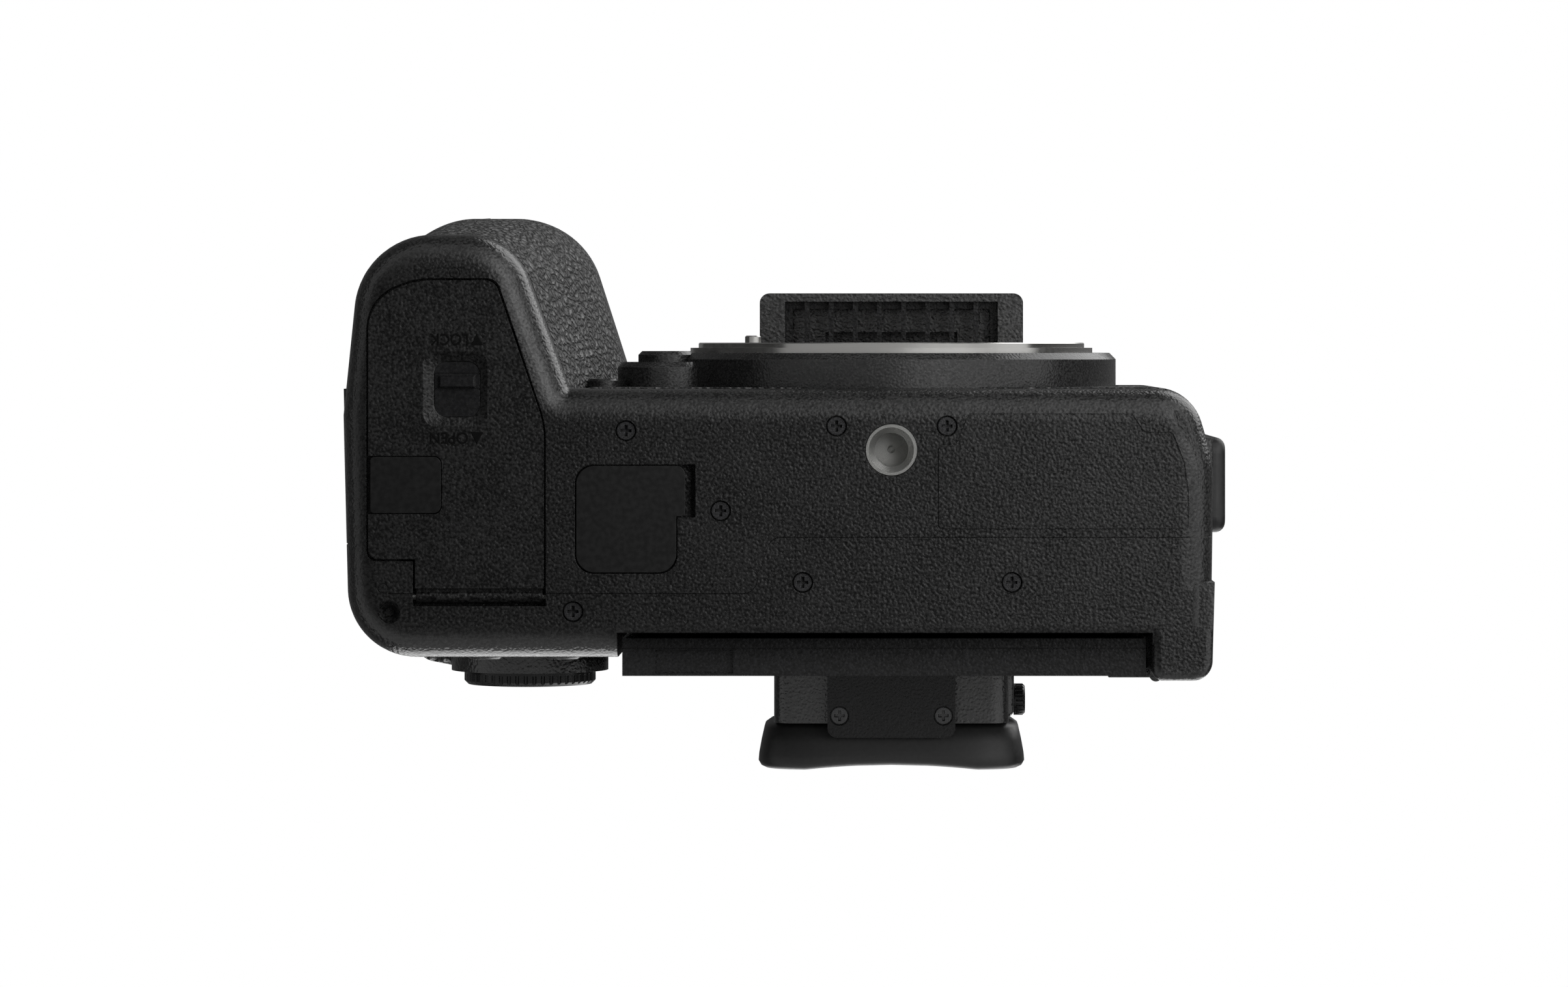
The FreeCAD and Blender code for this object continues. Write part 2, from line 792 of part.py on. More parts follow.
# Mount opening, its release button and the side sockets.
tools.append(bar((0, -FAR, lens), mm("barrel_radius") + ease, FAR, (0, 1, 0)))
boss_x, boss_z = -mm("boss_side"), mm("boss_height")
tools.append(bar((boss_x, -FAR, boss_z), 2.0, FAR, (0, 1, 0)))
tools.append(bar((-44.7, -FAR, 24.0), mm("top_button") - 0.4 + ease, FAR - 5, (0, 1, 0)))
port_in = port - 3.6
tools.append(block((port_in, 2, 21), (port + 10, 11, 25)))
tools.append(block((port_in, 1, 29), (port + 10, 11.6, 35.2)))
tools.append(bar((port_in, 6, 46.5), 3.0, 14, (1, 0, 0)))
tools.append(bar((port_in, 6, 56.5), 3.0, 14, (1, 0, 0)))
LUG_PLACES = [-side - mm("lug_out"), port - 0.2 + mm("lug_out")]
for x in LUG_PLACES:
    tools.append(
        bar(
            (x, mm("lug_back - lug_thick / 2"), mm("lug_height")),
            mm("lug_outer"),
            mm("lug_thick"),
            (0, 1, 0),
        ),
    )

# Rear controls: name, place across, height and radius.
BUTTONS_REAR = [
    ("play_button", -62.5, 16.2, "small_button"),
    ("delete_button", -50.5, 16.2, "small_button"),
]
for name, x, z, radius in BUTTONS_REAR:
    tools.append(bar((x, rear - 4, z), mm(radius) + 0.08, 9, (0, 1, 0)))
wheel_x, wheel_z, bed_y = -mm("wheel_side"), mm("wheel_height"), mm("wheel_bed")
tools.append(bar((wheel_x, bed_y - 2.8, wheel_z), mm("set_radius") + 1.15, 9, (0, 1, 0)))
tools.append(bar((wheel_x, rear - 6, wheel_z), 2.9 + ease, 12, (0, 1, 0)))
stick_x, stick_z = -54.5, 56.2
tools.append(bar((stick_x, rear - 4, stick_z), 1.6, 9, (0, 1, 0)))
tools.append(bar((stick_x, rear - 0.7, stick_z), mm("stick_radius") + 1.0, 9, (0, 1, 0)))
card_axis_x, card_axis_y = -side + 1.3, mm("card_front") + 0.5
card_pin_way = bar(
    (card_axis_x, card_axis_y, mm("card_low") - 3), 0.4 + ease, mm("card_high - card_low") + 6, (0, 0, 1)
)
tools.append(card_pin_way)

# Hinge relief in the corner column, and the scoop on its inner edge.
tools.append(
    block((mm("recess_right") - 1, hinge_y - 1.15, mm("arm_low") - 0.5), (60, 50, mm("arm_high") + 0.5))
)
tools.append(bar((mm("recess_right") - 0.4, column + 1.6, -1), 2.2, 11, (0, 0, 1)))
lower = lower.cut(Part.makeCompound(tools))
knuckles = [
    bar((hinge_x, hinge_y, low), mm("hinge_radius"), 6, (0, 0, 1))
    for low in (mm("arm_low") - 6.2, mm("arm_high") + 0.2)
]
lower = lower.fuse(knuckles)
lower = lower.cut(
    bar(
        (hinge_x, hinge_y, mm("arm_low") - 5),
        mm("hinge_pin") + ease,
        mm("arm_high - arm_low") + 10,
        (0, 0, 1),
    ),
)

# Front dial's cradle in the nose of the grip.
dial_x, dial_y, dial_z = -mm("front_dial_side"), -mm("front_dial_forward"), mm("front_dial_height")
dial_r, dial_w = mm("front_dial_radius"), mm("front_dial_wide")
cradle = block(
    (dial_x - dial_w / 2 - 2.2, dial_y - 6, dial_z - dial_r - 1.6),
    (dial_x + dial_w / 2 + 2.2, dial_y + 8.4, split),
)
cradle = cradle.common(grip_core)
dial_way = bar((dial_x - dial_w / 2 - 0.25, dial_y, dial_z), dial_r + 0.5, dial_w + 0.5, (1, 0, 0))
axle_way = bar((dial_x - dial_w / 2 - 1.8, dial_y, dial_z), 1.0 + ease, dial_w + 3.6, (1, 0, 0))
lower = lower.fuse(cradle).cut(dial_way).cut(axle_way)

# Card bay on the grip's side: the door is a slice of the casing's own curved wall.
bay = block((-FAR, mm("card_front"), mm("card_low")), (-side + 8, mm("card_back"), mm("card_high")))
ring = prism(plan(nose=False), 10, 70).cut(prism(plan(wall, nose=False), 9, 71))
card_wall = ring.common(bay)
card_gap = prism(plan(-1, nose=False), 10, 70).cut(prism(plan(wall + 0.5, nose=False), 9, 71))
bay_gap = block(
    (-FAR, mm("card_front") - 0.5, mm("card_low") - 0.2),
    (-side + 8.2, mm("card_back") + 0.2, mm("card_high") + 0.2),
)
lower = lower.cut(card_gap.common(bay_gap))

# Leather panel on the front wall, let into the shell.
leather = prism(plan(-0.15, nose=False), 9.5, 64.5).cut(prism(plan(mm("front_skin"), nose=False), 9, 65))
leather = leather.common(block((-46.2, -FAR, 9), (FAR, -mm("pad_front") - 0.8, 70)))
leather = leather.cut(bar((0, -FAR, lens), mm("surround_radius") + 0.6, FAR, (0, 1, 0)))
leather = leather.cut(bar((boss_x, -FAR, boss_z), mm("boss_radius") + 0.5, FAR, (0, 1, 0)))
leather = leather.cut(bar((-44.7, -FAR, 24.0), mm("top_button") + 0.4, FAR, (0, 1, 0)))
leather = leather.cut(outer_nose)
lower = lower.cut(leather)

# The two halves of the casing meet on the seam that runs across the underside.
grip_seam, port_seam = mm("seam_grip"), mm("seam_port")
SEAM = [(-FAR, mm("seam_card")), (-76, mm("seam_card")), (-76, grip_seam), (-20.9, grip_seam, 2.0)]
SEAM += [(-mm("seam_jog"), port_seam, 2.0), (FAR, port_seam)]
half = mm("seam_gap") / 2


def seam_region(shift, back):
    spots = [(*spot, 0) if len(spot) == 2 else spot for spot in SEAM]
    spots = [(x, y + shift, r) for x, y, r in spots]
    far_y = FAR if back else -FAR
    return prism(spots + [(FAR, far_y, 0), (-FAR, far_y, 0)], -5, split + 5)


front_half = lower.common(seam_region(0, False))
rear_half = lower.common(seam_region(0, True))
groove = seam_region(half, False).cut(seam_region(-half, False)).common(
    block((-FAR, -FAR, -2), (FAR, FAR, 0.3))
)
front_half = front_half.cut(groove)
rear_half = rear_half.cut(groove)


def biggest(shape):
    return max(shape.Solids, key=lambda solid: solid.Volume)


# The front shell is made of blocks that meet face to face: the tray, the grip's core, the wall round the
# mount, the corner at the port side and the wall behind the sockets.
grip_end, port_start, port_turn = -mm("lip_heel") + 2.1, port - 10.9, -mm("pad_front") - 0.4
FRONT_BLOCKS = [
    ((-FAR, -FAR, -5), (FAR, FAR, lip)),
    ((-FAR, -FAR, lip), (grip_end, FAR, FAR)),
    ((grip_end, -FAR, lip), (port_start, FAR, FAR)),
    ((port_start, -FAR, lip), (FAR, port_turn, FAR)),
    ((port_start, port_turn, lip), (FAR, FAR, FAR)),
]
front_casing = biggest(front_half)
front_solids = [
    solid for low, high in FRONT_BLOCKS for solid in front_casing.common(block(low, high)).Solids
]
feature("front_shell", Part.makeCompound(front_solids))
feature("rear_shell", biggest(rear_half))
grip_cover = outer_nose.cut(inner_nose).common(
    block((-FAR, -FAR, lip + 0.5), (FAR, mm("nose_back") - 0.1, split - 0.1))
)
wall_side = prism([(-60, -front, 0), (-30, -front, 0), (-30, 20, 0), (-60, 20, 0)], 0, 90)
grip_cover = grip_cover.cut(wall_side).cut(dial_way)
feature("grip_cover", biggest(grip_cover))
feature("front_leather", leather)
thumb_shape = thumb.cut(prism(plan(0.0, nose=False), 0, 90)).cut(
    bar((-mm("wheel_side"), 20, mm("wheel_height")), mm("bed_radius") + 0.2, 30, (0, 1, 0))
)
feature("thumb_rest", biggest(thumb_shape))

# Top cover: shoulders, the grip's sloping crown and the viewfinder tower.
brow_z, tower_z = mm("brow_under"), mm("tower_top")
brow, crest, foot_half = mm("tower_brow"), mm("tower_crest"), mm("tower_base")
upper = prism(plan(nose=False), split, shoulder)
upper = upper.cut(block((-side - 5, -front - 5, split - 1), (-side + 22, mm("nose_back"), shoulder + 5)))
upper = upper.fuse(crown)
upper = upper.cut(crown_cut())
tower_outline = [
    (-foot_half, shoulder - 4, 0), (-foot_half, shoulder, 3), (-brow, brow_z + 1.5, 6), (-crest, tower_z, 4)
]
tower_outline += [(-x, z, r) for x, z, r in reversed(tower_outline)]
tower = side_prism(tower_outline, -front - 1, rear + 1.0)
brow_outline = [
    (-brow - 0.4, brow_z, 0), (-crest, tower_z, 4), (crest, tower_z, 4), (brow + 0.4, brow_z, 0)
]
brow_shape = side_prism(brow_outline, -mm("brow_front"), -front)
nose_cut = [
    (-mm("brow_front") - 1, brow_z + 9, 0), (-front - 2, tower_z + 0.2, 14), (-front - 2, tower_z + 8, 0)
]
brow_shape = brow_shape.cut(profile_prism(nose_cut + [(-mm("brow_front") - 1, tower_z + 8, 0)], -40, 40))
face_edges = [edge for edge in brow_shape.Edges if edge.BoundBox.YLength < 1e-6]
upright = [
    edge
    for edge in face_edges
    if abs(edge.BoundBox.YMin + mm("brow_front")) < 1e-6 and edge.BoundBox.ZLength > 3
]
brow_shape = brow_shape.makeFillet(1.6, upright)
finder_outline = [
    (-mm("finder_half"), mm("finder_under"), 3.0),
    (-mm("finder_half") + 1, mm("finder_top"), mm("finder_round")),
    (mm("finder_half") - 1, mm("finder_top"), mm("finder_round")),
    (mm("finder_half"), mm("finder_under"), 3.0),
]
finder = side_prism(finder_outline, 20, mm("finder_back"))
diopter_x, diopter_y, diopter_z = mm("diopter_side"), mm("diopter_back"), mm("diopter_height")
diopter_boss = block(
    (10, diopter_y - 7, diopter_z - 6), (diopter_x, mm("finder_back") - 0.4, diopter_z + 6)
)
diopter_boss = diopter_boss.makeFillet(1.2, diopter_boss.Edges)
spot, up = crown_axis(-mm("shutter_side"), mm("shutter_forward"))
shutter_boss = Part.makeCylinder(mm("shutter_radius") + 0.1, 2.0, spot - up * 1.0, up)
upper = upper.fuse([tower, brow_shape, finder, diopter_boss, shutter_boss])
upper = upper.cut(block((-FAR, -front - 3, 0), (FAR, rear + 0.05, split)))

tower_hollow = side_prism(
    [
        (-foot_half + 3, shoulder - 5, 0),
        (-brow + 2.2, brow_z + 1.5, 4),
        (-crest + 1.6, tower_z - 1.8, 3),
        (crest - 1.6, tower_z - 1.8, 3),
        (brow - 2.2, brow_z + 1.5, 4),
        (foot_half - 3, shoulder - 5, 0),
    ],
    -front + 0.8,
    rear - 1.0,
)
deck = prism(plan(wall, nose=False), split - 1, shoulder - 1.8)
deck = deck.cut(block((-side - 5, -front - 5, split - 2), (-side + 22, mm("nose_back") + wall, shoulder)))
crown_hollow = nose(mm("skin") + 1.0).common(
    block((-FAR, -FAR, split - 1), (FAR, mm("nose_back") + 2, shoulder - 1.8))
)
lowered = crown_cut()
lowered.translate(V(0, 0, -1.9))
crown_hollow = crown_hollow.cut(lowered)
finder_hollow = side_prism(
    [
        (-mm("finder_half") + 2, mm("finder_under") + 2, 2),
        (-mm("finder_half") + 2.5, mm("finder_top") - 1.8, 4),
        (mm("finder_half") - 2.5, mm("finder_top") - 1.8, 4),
        (mm("finder_half") - 2, mm("finder_under") + 2, 2),
    ],
    20,
    mm("finder_back") + 1,
)
intake = block(
    (-mm("intake_half"), -mm("brow_front") + mm("brow_lip"), brow_z - 1),
    (mm("intake_half"), -mm("intake_back"), brow_z + 6.2),
)
duct = block((-11, -18, brow_z + 6), (11, -front + 1.5, brow_z + 11))
upper = upper.cut(Part.makeCompound([deck, crown_hollow, tower_hollow, finder_hollow, intake, duct]))

# Every top control: name, place, radius, rise. The ones ahead of the shoulder lean with the crown.
BUTTONS_TOP = [
    ("record_button", -58.5, -11.5, "top_button"),
]
DIALS_TOP = [
    ("mode_dial", "mode_side", "mode_back", "mode_radius", "mode_tall", -1, 36),
    ("rear_dial", "rear_dial_side", "rear_dial_back", "rear_dial_radius", "dial_tall", -1, 44),
    ("drive_dial", "port_side - drive_in", "mode_back", "drive_radius", "drive_tall", 1, 34),
]


holes = [Part.makeCylinder(mm("shutter_radius") - 1.0 + ease, 12, spot - up * 8, up)]
for name, x, y, radius in BUTTONS_TOP:
    at, normal = crown_axis(x, -y)
    holes.append(Part.makeCylinder(mm(radius) + 0.08, 8, at - normal * 5, normal))
for name, x, y, radius, tall, way, teeth in DIALS_TOP:
    holes.append(bar((way * mm(x), mm(y), shoulder - 6), mm("shaft") + ease, 9, (0, 0, 1)))
    holes.append(bar((way * mm(x), mm(y), shoulder - 0.4), mm(radius) + 0.4, 4, (0, 0, 1)))
holes.append(bar((diopter_x - 5, diopter_y, diopter_z), 1.2 + ease, 20, (1, 0, 0)))
for x in LUG_PLACES:
    holes.append(
        bar(
            (x, mm("lug_back - lug_thick / 2"), mm("lug_height")),
            mm("lug_outer"),
            mm("lug_thick"),
            (0, 1, 0),
        ),
    )
for x in (-mm("bracket_screw"), mm("bracket_screw")):
    holes.append(
        bar((x, mm("bracket_back") - 3.6, mm("finder_under") - 1), mm("screw_shank") + 0.02, 4.6, (0, 0, 1))
    )
upper = upper.cut(Part.makeCompound(holes))
upper = upper.cut(
    bar(
        (0, -mm("surround_front") - 1, lens),
        mm("surround_radius") + 0.1,
        mm("surround_front") + 1 - front,
        (0, 1, 0),
    ),
)
upper = upper.cut(bar((0, -FAR, lens), mm("barrel_radius") + ease, FAR - 5.5, (0, 1, 0)))
upper = upper.cut(
    outer_nose.cut(inner_nose).common(block((-FAR, -FAR, split - 1), (FAR, mm("nose_back"), split)))
)
feature("top_cover", biggest(upper))


# Screws: one solid each, with a cross cut in the head. The place is the middle of the head's outer face.
def screws(name, places, head, shank, direction):
    way = V(*direction)
    across = V(way.y, way.z, way.x)
    over = way.cross(across)
    solids = []
    for *place, long in places:
        start = V(*place)
        shape = Part.makeCylinder(head, 0.9, start, way).fuse(Part.makeCylinder(shank, long, start, way))
        for first, second in ((across, over), (over, across)):
            corner = start - way * 0.01 - first * head * 0.62 - second * 0.16
            edges = [corner, corner + first * head * 1.24]
            edges += [edges[1] + second * 0.32, corner + second * 0.32, corner]
            shape = shape.cut(Part.Face(Part.makePolygon(edges)).extrude(way * 0.46))
        solids.append(shape)
    return feature(name, Part.makeCompound(solids))


BRACKET_SCREWS = [(x, mm("bracket_back") - 3.6) for x in (-mm("bracket_screw"), mm("bracket_screw"))]
bracket_low = mm("finder_under - bracket_thick")
case_places = [(x, y, mm("screw_sink"), mm("screw_long")) for x, y in SCREWS]
case_places += [(x, y, bracket_low + 0.1, mm("bracket_screw_long")) for x, y in BRACKET_SCREWS]
screws("case_screws", case_places, mm("screw_head"), mm("screw_shank"), (0, 0, 1))
RING_SCREWS = []
for k in range(6):
    turn = math.radians(30 + 60 * k)
    RING_SCREWS.append((mm("ring_screws") * math.cos(turn), lens + mm("ring_screws") * math.sin(turn)))
ring_places = [(x, -mm("flange_front") + 0.1, z, 5.0) for x, z in RING_SCREWS]
screws("mount_screws", ring_places, mm("ring_screw_head"), 0.7, (0, 1, 0))

# Lens mount: cast chassis, black surround, bright bayonet ring, lock pin and its release button.
ring_top = mm("flange_front - surround_front")
ring_stock = turned(
    "ring_stock",
    [
        ("lug_inner", "0 - 0.6"),
        ("throat_radius", "0 - 0.6"),
        ("throat_radius", "0 - 3"),
        ("barrel_bore - 0.05", "0 - 3"),
        ("barrel_bore - 0.05", "0"),
        ("step_radius", "0"),
        ("step_radius", "ring_step"),
        ("flange_radius", "ring_step"),
        ("flange_radius", "flange_front - surround_front - 0.15"),
        ("flange_radius - 0.15", "flange_front - surround_front"),
        ("lug_inner", "flange_front - surround_front"),
    ],
    ("0", "0 - surround_front", "lens_height"),
    "front",
)
pies = []
for k in range(3):
    pie = rod(f"lug_gap_{k}", ("0", "0 - surround_front + 4", "lens_height"), "throat_radius", "8", "front")
    pie.Angle = 66
    pie.Placement = FreeCAD.Placement(
        pie.Placement.Base, pie.Placement.Rotation.multiply(FreeCAD.Rotation(V(0, 0, 1), 12 + 120 * k))
    )
    pies.append(pie)
ring_holes = []
barrel_holes = []
for k, (x, z) in enumerate(RING_SCREWS):
    ring_holes.append(
        rod(f"ring_head_{k}", (x, "0 - flange_front + 1.05", z), "ring_screw_head + 0.1", "2", "front")
    )
    ring_holes.append(rod(f"ring_hole_{k}", (x, "0 - flange_front + 4", z), "0.72", "5", "front"))
    barrel_holes.append(rod(f"barrel_hole_{k}", (x, "0 - flange_front + 6", z), "0.72", "7", "front"))
pin_place = ("0 - lock_pin_side", "0 - 4", "lock_pin_height")
ring_holes.append(rod("ring_pin_hole", pin_place, "lock_pin_radius + ease", "15", "front"))
barrel_holes.append(rod("barrel_pin_hole", pin_place, "lock_pin_radius + ease", "12", "front"))
cut("mount_ring", ring_stock, *pies, *ring_holes)

chassis_plate = box(
    "chassis_plate",
    ("0 - 41.5", "wall - front_wall", "boss_tall + 0.4"),
    ("75.5", "plate_thick", "top_split - boss_tall - 2.4"),
)
chassis_barrel = rod(
    "chassis_barrel",
    ("0", "wall + plate_thick - front_wall", "lens_height"),
    "barrel_radius",
    "surround_front - front_wall + wall + plate_thick",
    "front",
)
release_hole = rod("release_hole", ("0 - boss_side", "1", "boss_height"), "2", "20", "front")
chassis_box = box("chassis_box", ("0 - 26", "0 - 7", "lens_height - 20"), ("52", "7 - shutter_front", "40"))
barrel_seat = rod(
    "barrel_seat", ("0", "0 - surround_front + 3.2", "lens_height"), "barrel_bore", "9", "front"
)
barrel_well = rod(
    "barrel_well", ("0", "0 - shutter_front - 4", "lens_height"), "throat_radius - 0.4", "20", "front"
)
chassis_gate = box(
    "chassis_gate",
    ("0 - frame_wide / 2 - 1.2", "0 - 20", "lens_height - frame_tall / 2 - 1.2"),
    ("frame_wide + 2.4", "25", "frame_tall + 2.4"),
)
chassis_stock = fuse("chassis_stock", chassis_plate, chassis_barrel, chassis_box)
cut("chassis", chassis_stock, barrel_seat, barrel_well, chassis_gate, release_hole, *barrel_holes)

surround_ring = turned(
    "surround_ring",
    [
        ("barrel_radius + ease", "0"),
        ("surround_radius", "0"),
        ("surround_radius", "surround_front - front_wall - surround_bevel"),
        ("surround_radius - surround_bevel", "surround_front - front_wall"),
        ("barrel_radius + ease", "surround_front - front_wall"),
    ],
    ("0", "0 - front_wall", "lens_height"),
    "front",
)
surround_boss = turned(
    "surround_boss",
    [
        ("0", "0"),
        ("boss_radius", "0"),
        ("boss_radius", "boss_front - front_wall - 0.8"),
        ("boss_radius - 0.8", "boss_front - front_wall"),
        ("0", "boss_front - front_wall"),
    ],
    ("0 - boss_side", "0 - front_wall", "boss_height"),
    "front",
)
surround_bore = rod("surround_bore", ("0", "0", "lens_height"), "barrel_radius + ease", "30", "front")
button_well = rod(
    "button_well", ("0 - boss_side", "0", "boss_height"), "release_radius + ease", "30", "front"
)
cut("mount_surround", fuse("surround_stock", surround_ring, surround_boss), surround_bore, button_well)

turned(
    "lock_pin",
    [
        ("0", "0"),
        ("lock_pin_radius", "0"),
        ("lock_pin_radius", "flange_front - surround_front + 6 + lock_pin_out - 0.2"),
        ("lock_pin_radius - 0.2", "flange_front - surround_front + 6 + lock_pin_out"),
        ("0", "flange_front - surround_front + 6 + lock_pin_out"),
    ],
    ("0 - lock_pin_side", "0 - surround_front + 6", "lock_pin_height"),
    "front",
)
turned(
    "release_button",
    [
        ("0", "0"),
        ("1.95", "0"),
        ("1.95", "5"),
        ("release_radius", "5"),
        ("release_radius", "release_front - 7"),
        ("release_radius - 0.6", "release_front - 6.4"),
        ("0", "release_front - 6.4"),
    ],
    ("0 - boss_side", "0 - 6.4", "boss_height"),
    "front",
)


def button(name, at, facing, radius, rise="button_rise", tilt=0.0, wall_deep="1.8"):
    """Sprung button: a cap through the wall with a lip behind it that keeps it in."""
    return turned(
        name,
        [
            ("0", f"0 - {wall_deep} - 0.8"),
            (f"{radius} + button_lip", f"0 - {wall_deep} - 0.8"),
            (f"{radius} + button_lip", f"0 - {wall_deep} - 0.1"),
            (radius, f"0 - {wall_deep} - 0.1"),
            (radius, f"{rise} - 0.3"),
            (f"{radius} - 0.3", rise),
            ("0", rise),
        ],
        at,
        facing,
        tilt,
    )


button(
    "front_button",
    ("0 - 44.7", "0 - front_wall", "24"),
    "front",
    "top_button - 0.4",
    "1.4",
    wall_deep="wall",
)
for name, x, y, radius in BUTTONS_TOP:
    spot, up = crown_axis(x, -y)
    button(name, (x, y, round(spot.z, 4)), "up", radius, tilt=CROWN_TILT if -y > CROWN_FRONT else 0.0)
for name, x, z, radius in BUTTONS_REAR:
    button(name, (x, "rear_wall", z), "back", radius, wall_deep="wall")


def dial(name, at, radius, tall, teeth, facing="up"):
    """Knurled dial on a shaft with a collar under the deck."""
    body = turned(
        name,
        [
            ("0", "0 - 3.4"),
            ("shaft + 0.9", "0 - 3.4"),
            ("shaft + 0.9", "0 - 1.85"),
            ("shaft", "0 - 1.85"),
            ("shaft", "0 - 0.35"),
            (f"{radius} - 0.3", "0 - 0.35"),
            (radius, "0.1"),
            (radius, f"{tall} - 0.5"),
            (f"{radius} - 0.5", tall),
            ("0", tall),
        ],
        at,
        facing,
    )
    return knurl(body, radius, "0.32", "0.6", f"{tall}", teeth)


for name, x, y, radius, tall, way, teeth in DIALS_TOP:
    dial(name, (x if way > 0 else "0 - " + x, y, "shoulder"), radius, tall, teeth)

spot, up = crown_axis(-mm("shutter_side"), mm("shutter_forward"))
crown_place = ("0 - shutter_side", "0 - shutter_forward", round(spot.z, 4))
turned(
    "shutter_button",
    [
        ("0", "0 - 2.7"),
        ("shutter_radius - 0.3", "0 - 2.7"),
        ("shutter_radius - 0.3", "0 - 1.95"),
        ("shutter_radius - 1", "0 - 1.95"),
        ("shutter_radius - 1", "1.9"),
        ("shutter_radius", "2.2"),
        ("shutter_radius", "3.4"),
        ("shutter_radius - 0.5", "3.8"),
        ("shutter_radius - 1.5", "3.75"),
        ("0", "3.4"),
    ],
    crown_place,
    "up",
    CROWN_TILT,
)
lever_ring = turned(
    "lever_ring",
    [
        ("shutter_radius + 0.3", "0.05"),
        ("lever_radius", "0.05"),
        ("lever_radius", "lever_tall - 0.4"),
        ("lever_radius - 0.4", "lever_tall"),
        ("shutter_radius + 0.3", "lever_tall"),
    ],
    crown_place,
    "up",
    CROWN_TILT,
)
lever_tab = slab(
    "lever_tab",
    [
        ("0 - 2.2", "0 - lever_radius - 2.4"),
        ("1.0", "0 - lever_radius - 2.6"),
        ("2.6", "0 - lever_radius + 0.6"),
        ("0 - 3.2", "0 - lever_radius + 0.6"),
    ],
    "lever_tall - 0.6",
    crown_place,
    "up",
    "0.6",
    tilt=CROWN_TILT,
)
fuse("power_lever", lever_ring, lever_tab)

turned(
    "control_wheel",
    [
        ("set_radius + 0.25", "0 - 2.7"),
        ("set_radius + 1.1", "0 - 2.7"),
        ("set_radius + 1.1", "0.05"),
        ("wheel_radius", "0.05"),
        ("wheel_radius", "wheel_thick - 0.6"),
        ("wheel_radius - 0.6", "wheel_thick"),
        ("set_radius + 0.25", "wheel_thick - 0.3"),
    ],
    ("0 - wheel_side", "wheel_bed", "wheel_height"),
    "back",
)
knurl(doc.getObject("control_wheel"), "wheel_radius", "0.3", "0.5", "3", 48)
turned(
    "set_button",
    [
        ("0", "0 - 5.4"),
        ("2.9", "0 - 5.4"),
        ("2.9", "0 - 2.1"),
        ("set_radius", "0 - 2.1"),
        ("set_radius", "wheel_thick - 0.2"),
        ("set_radius - 0.4", "wheel_thick + 0.2"),
        ("0", "wheel_thick + 0.2"),
    ],
    ("0 - wheel_side", "wheel_bed", "wheel_height"),
    "back",
)
turned(
    "joystick",
    [
        ("0", "0 - 2.8"),
        ("2.2", "0 - 2.8"),
        ("2.2", "0 - 2.0"),
        ("1.2", "0 - 2.0"),
        ("1.2", "0.4"),
        ("stick_radius - 0.6", "0.6"),
        ("stick_radius", "1.2"),
        ("stick_radius", "1.9"),
        ("stick_radius - 0.5", "2.3"),
        ("0", "2.0"),
    ],
    (stick_x, "rear_wall", stick_z),
    "back",
)
front_dial = turned(
    "front_dial",
    [
        ("0", "0 - 1.6"),
        ("1", "0 - 1.6"),
        ("1", "0"),
        ("front_dial_radius - 0.3", "0"),
        ("front_dial_radius", "0.3"),
        ("front_dial_radius", "front_dial_wide - 0.3"),
        ("front_dial_radius - 0.3", "front_dial_wide"),
        ("1", "front_dial_wide"),
        ("1", "front_dial_wide + 1.6"),
        ("0", "front_dial_wide + 1.6"),
    ],
    ("0 - front_dial_side - front_dial_wide / 2", "0 - front_dial_forward", "front_dial_height"),
    "port",
)
knurl(front_dial, "front_dial_radius", "0.3", "0 - 0.1", "front_dial_wide + 1", 34)
diopter = turned(
    "diopter_dial",
    [
        ("0", "0 - 3.4"),
        ("1.2", "0 - 3.4"),
        ("1.2", "0.05"),
        ("diopter_radius", "0.05"),
        ("diopter_radius", "1.5"),
        ("diopter_radius - 0.4", "1.9"),
        ("0", "1.9"),
    ],
    ("diopter_side", "diopter_back", "diopter_height"),
    "port",
)
knurl(diopter, "diopter_radius", "0.18", "0.3", "3", 20)

# Behind the mount: shutter with two blades, moving sensor, its base and the main board.
shutter_block = box(
    "shutter_block", ("0 - 33", "0 - shutter_front", "lens_height - 28"), ("66", "shutter_thick", "50")
)
shutter_gate = box(
    "shutter_gate",
    ("0 - frame_wide / 2 - 0.6", "0 - 8", "lens_height - frame_tall / 2 - 0.6"),
    ("frame_wide + 1.2", "16", "frame_tall + 1.2"),
)
blade_room = box(
    "blade_room",
    ("0 - frame_wide / 2 - 2.1", "0 - 0.1", "lens_height - 26.85"),
    ("frame_wide + 4.2", "1.2", "40"),
)
cut("shutter_frame", shutter_block, shutter_gate, blade_room)
for name, back in (("shutter_blade_lead", "0.05"), ("shutter_blade_rear", "blade_thick + 0.2")):
    box(
        name,
        ("0 - frame_wide / 2 - 2", back, "lens_height - 26.8"),
        ("frame_wide + 4", "blade_thick", "blade_tall"),
    )

box(
    "image_sensor",
    ("0 - 20.5", "sensor_depth - flange_front - 1.1", "lens_height - 14.5"),
    ("41", "2.3", "29"),
)
box(
    "sensor_carriage",
    ("0 - 24", "sensor_depth - flange_front + 1.2", "lens_height - 16.5"),
    ("48", "1.8", "33"),
)
base_y = "sensor_depth - flange_front + 3.05"
base_parts = [box("yoke_plate", ("0 - 31", base_y, "lens_height - 20"), ("62", "plate_thick", "40"))]
for k, (x, z) in enumerate([(-28.4, -17.4), (28.4, -17.4), (-28.4, 17.4), (28.4, 17.4)]):
    post = rod(
        f"yoke_post_{k}",
        (x, "shutter_thick - shutter_front", f"lens_height + {z}"),
        "2",
        "board_front - shutter_thick + shutter_front",
        "back",
    )
    base_parts.append(post)
fuse("sensor_base", *base_parts)
box("main_board", ("0 - 40", "board_front", "9"), ("80", "1.2", "53"))

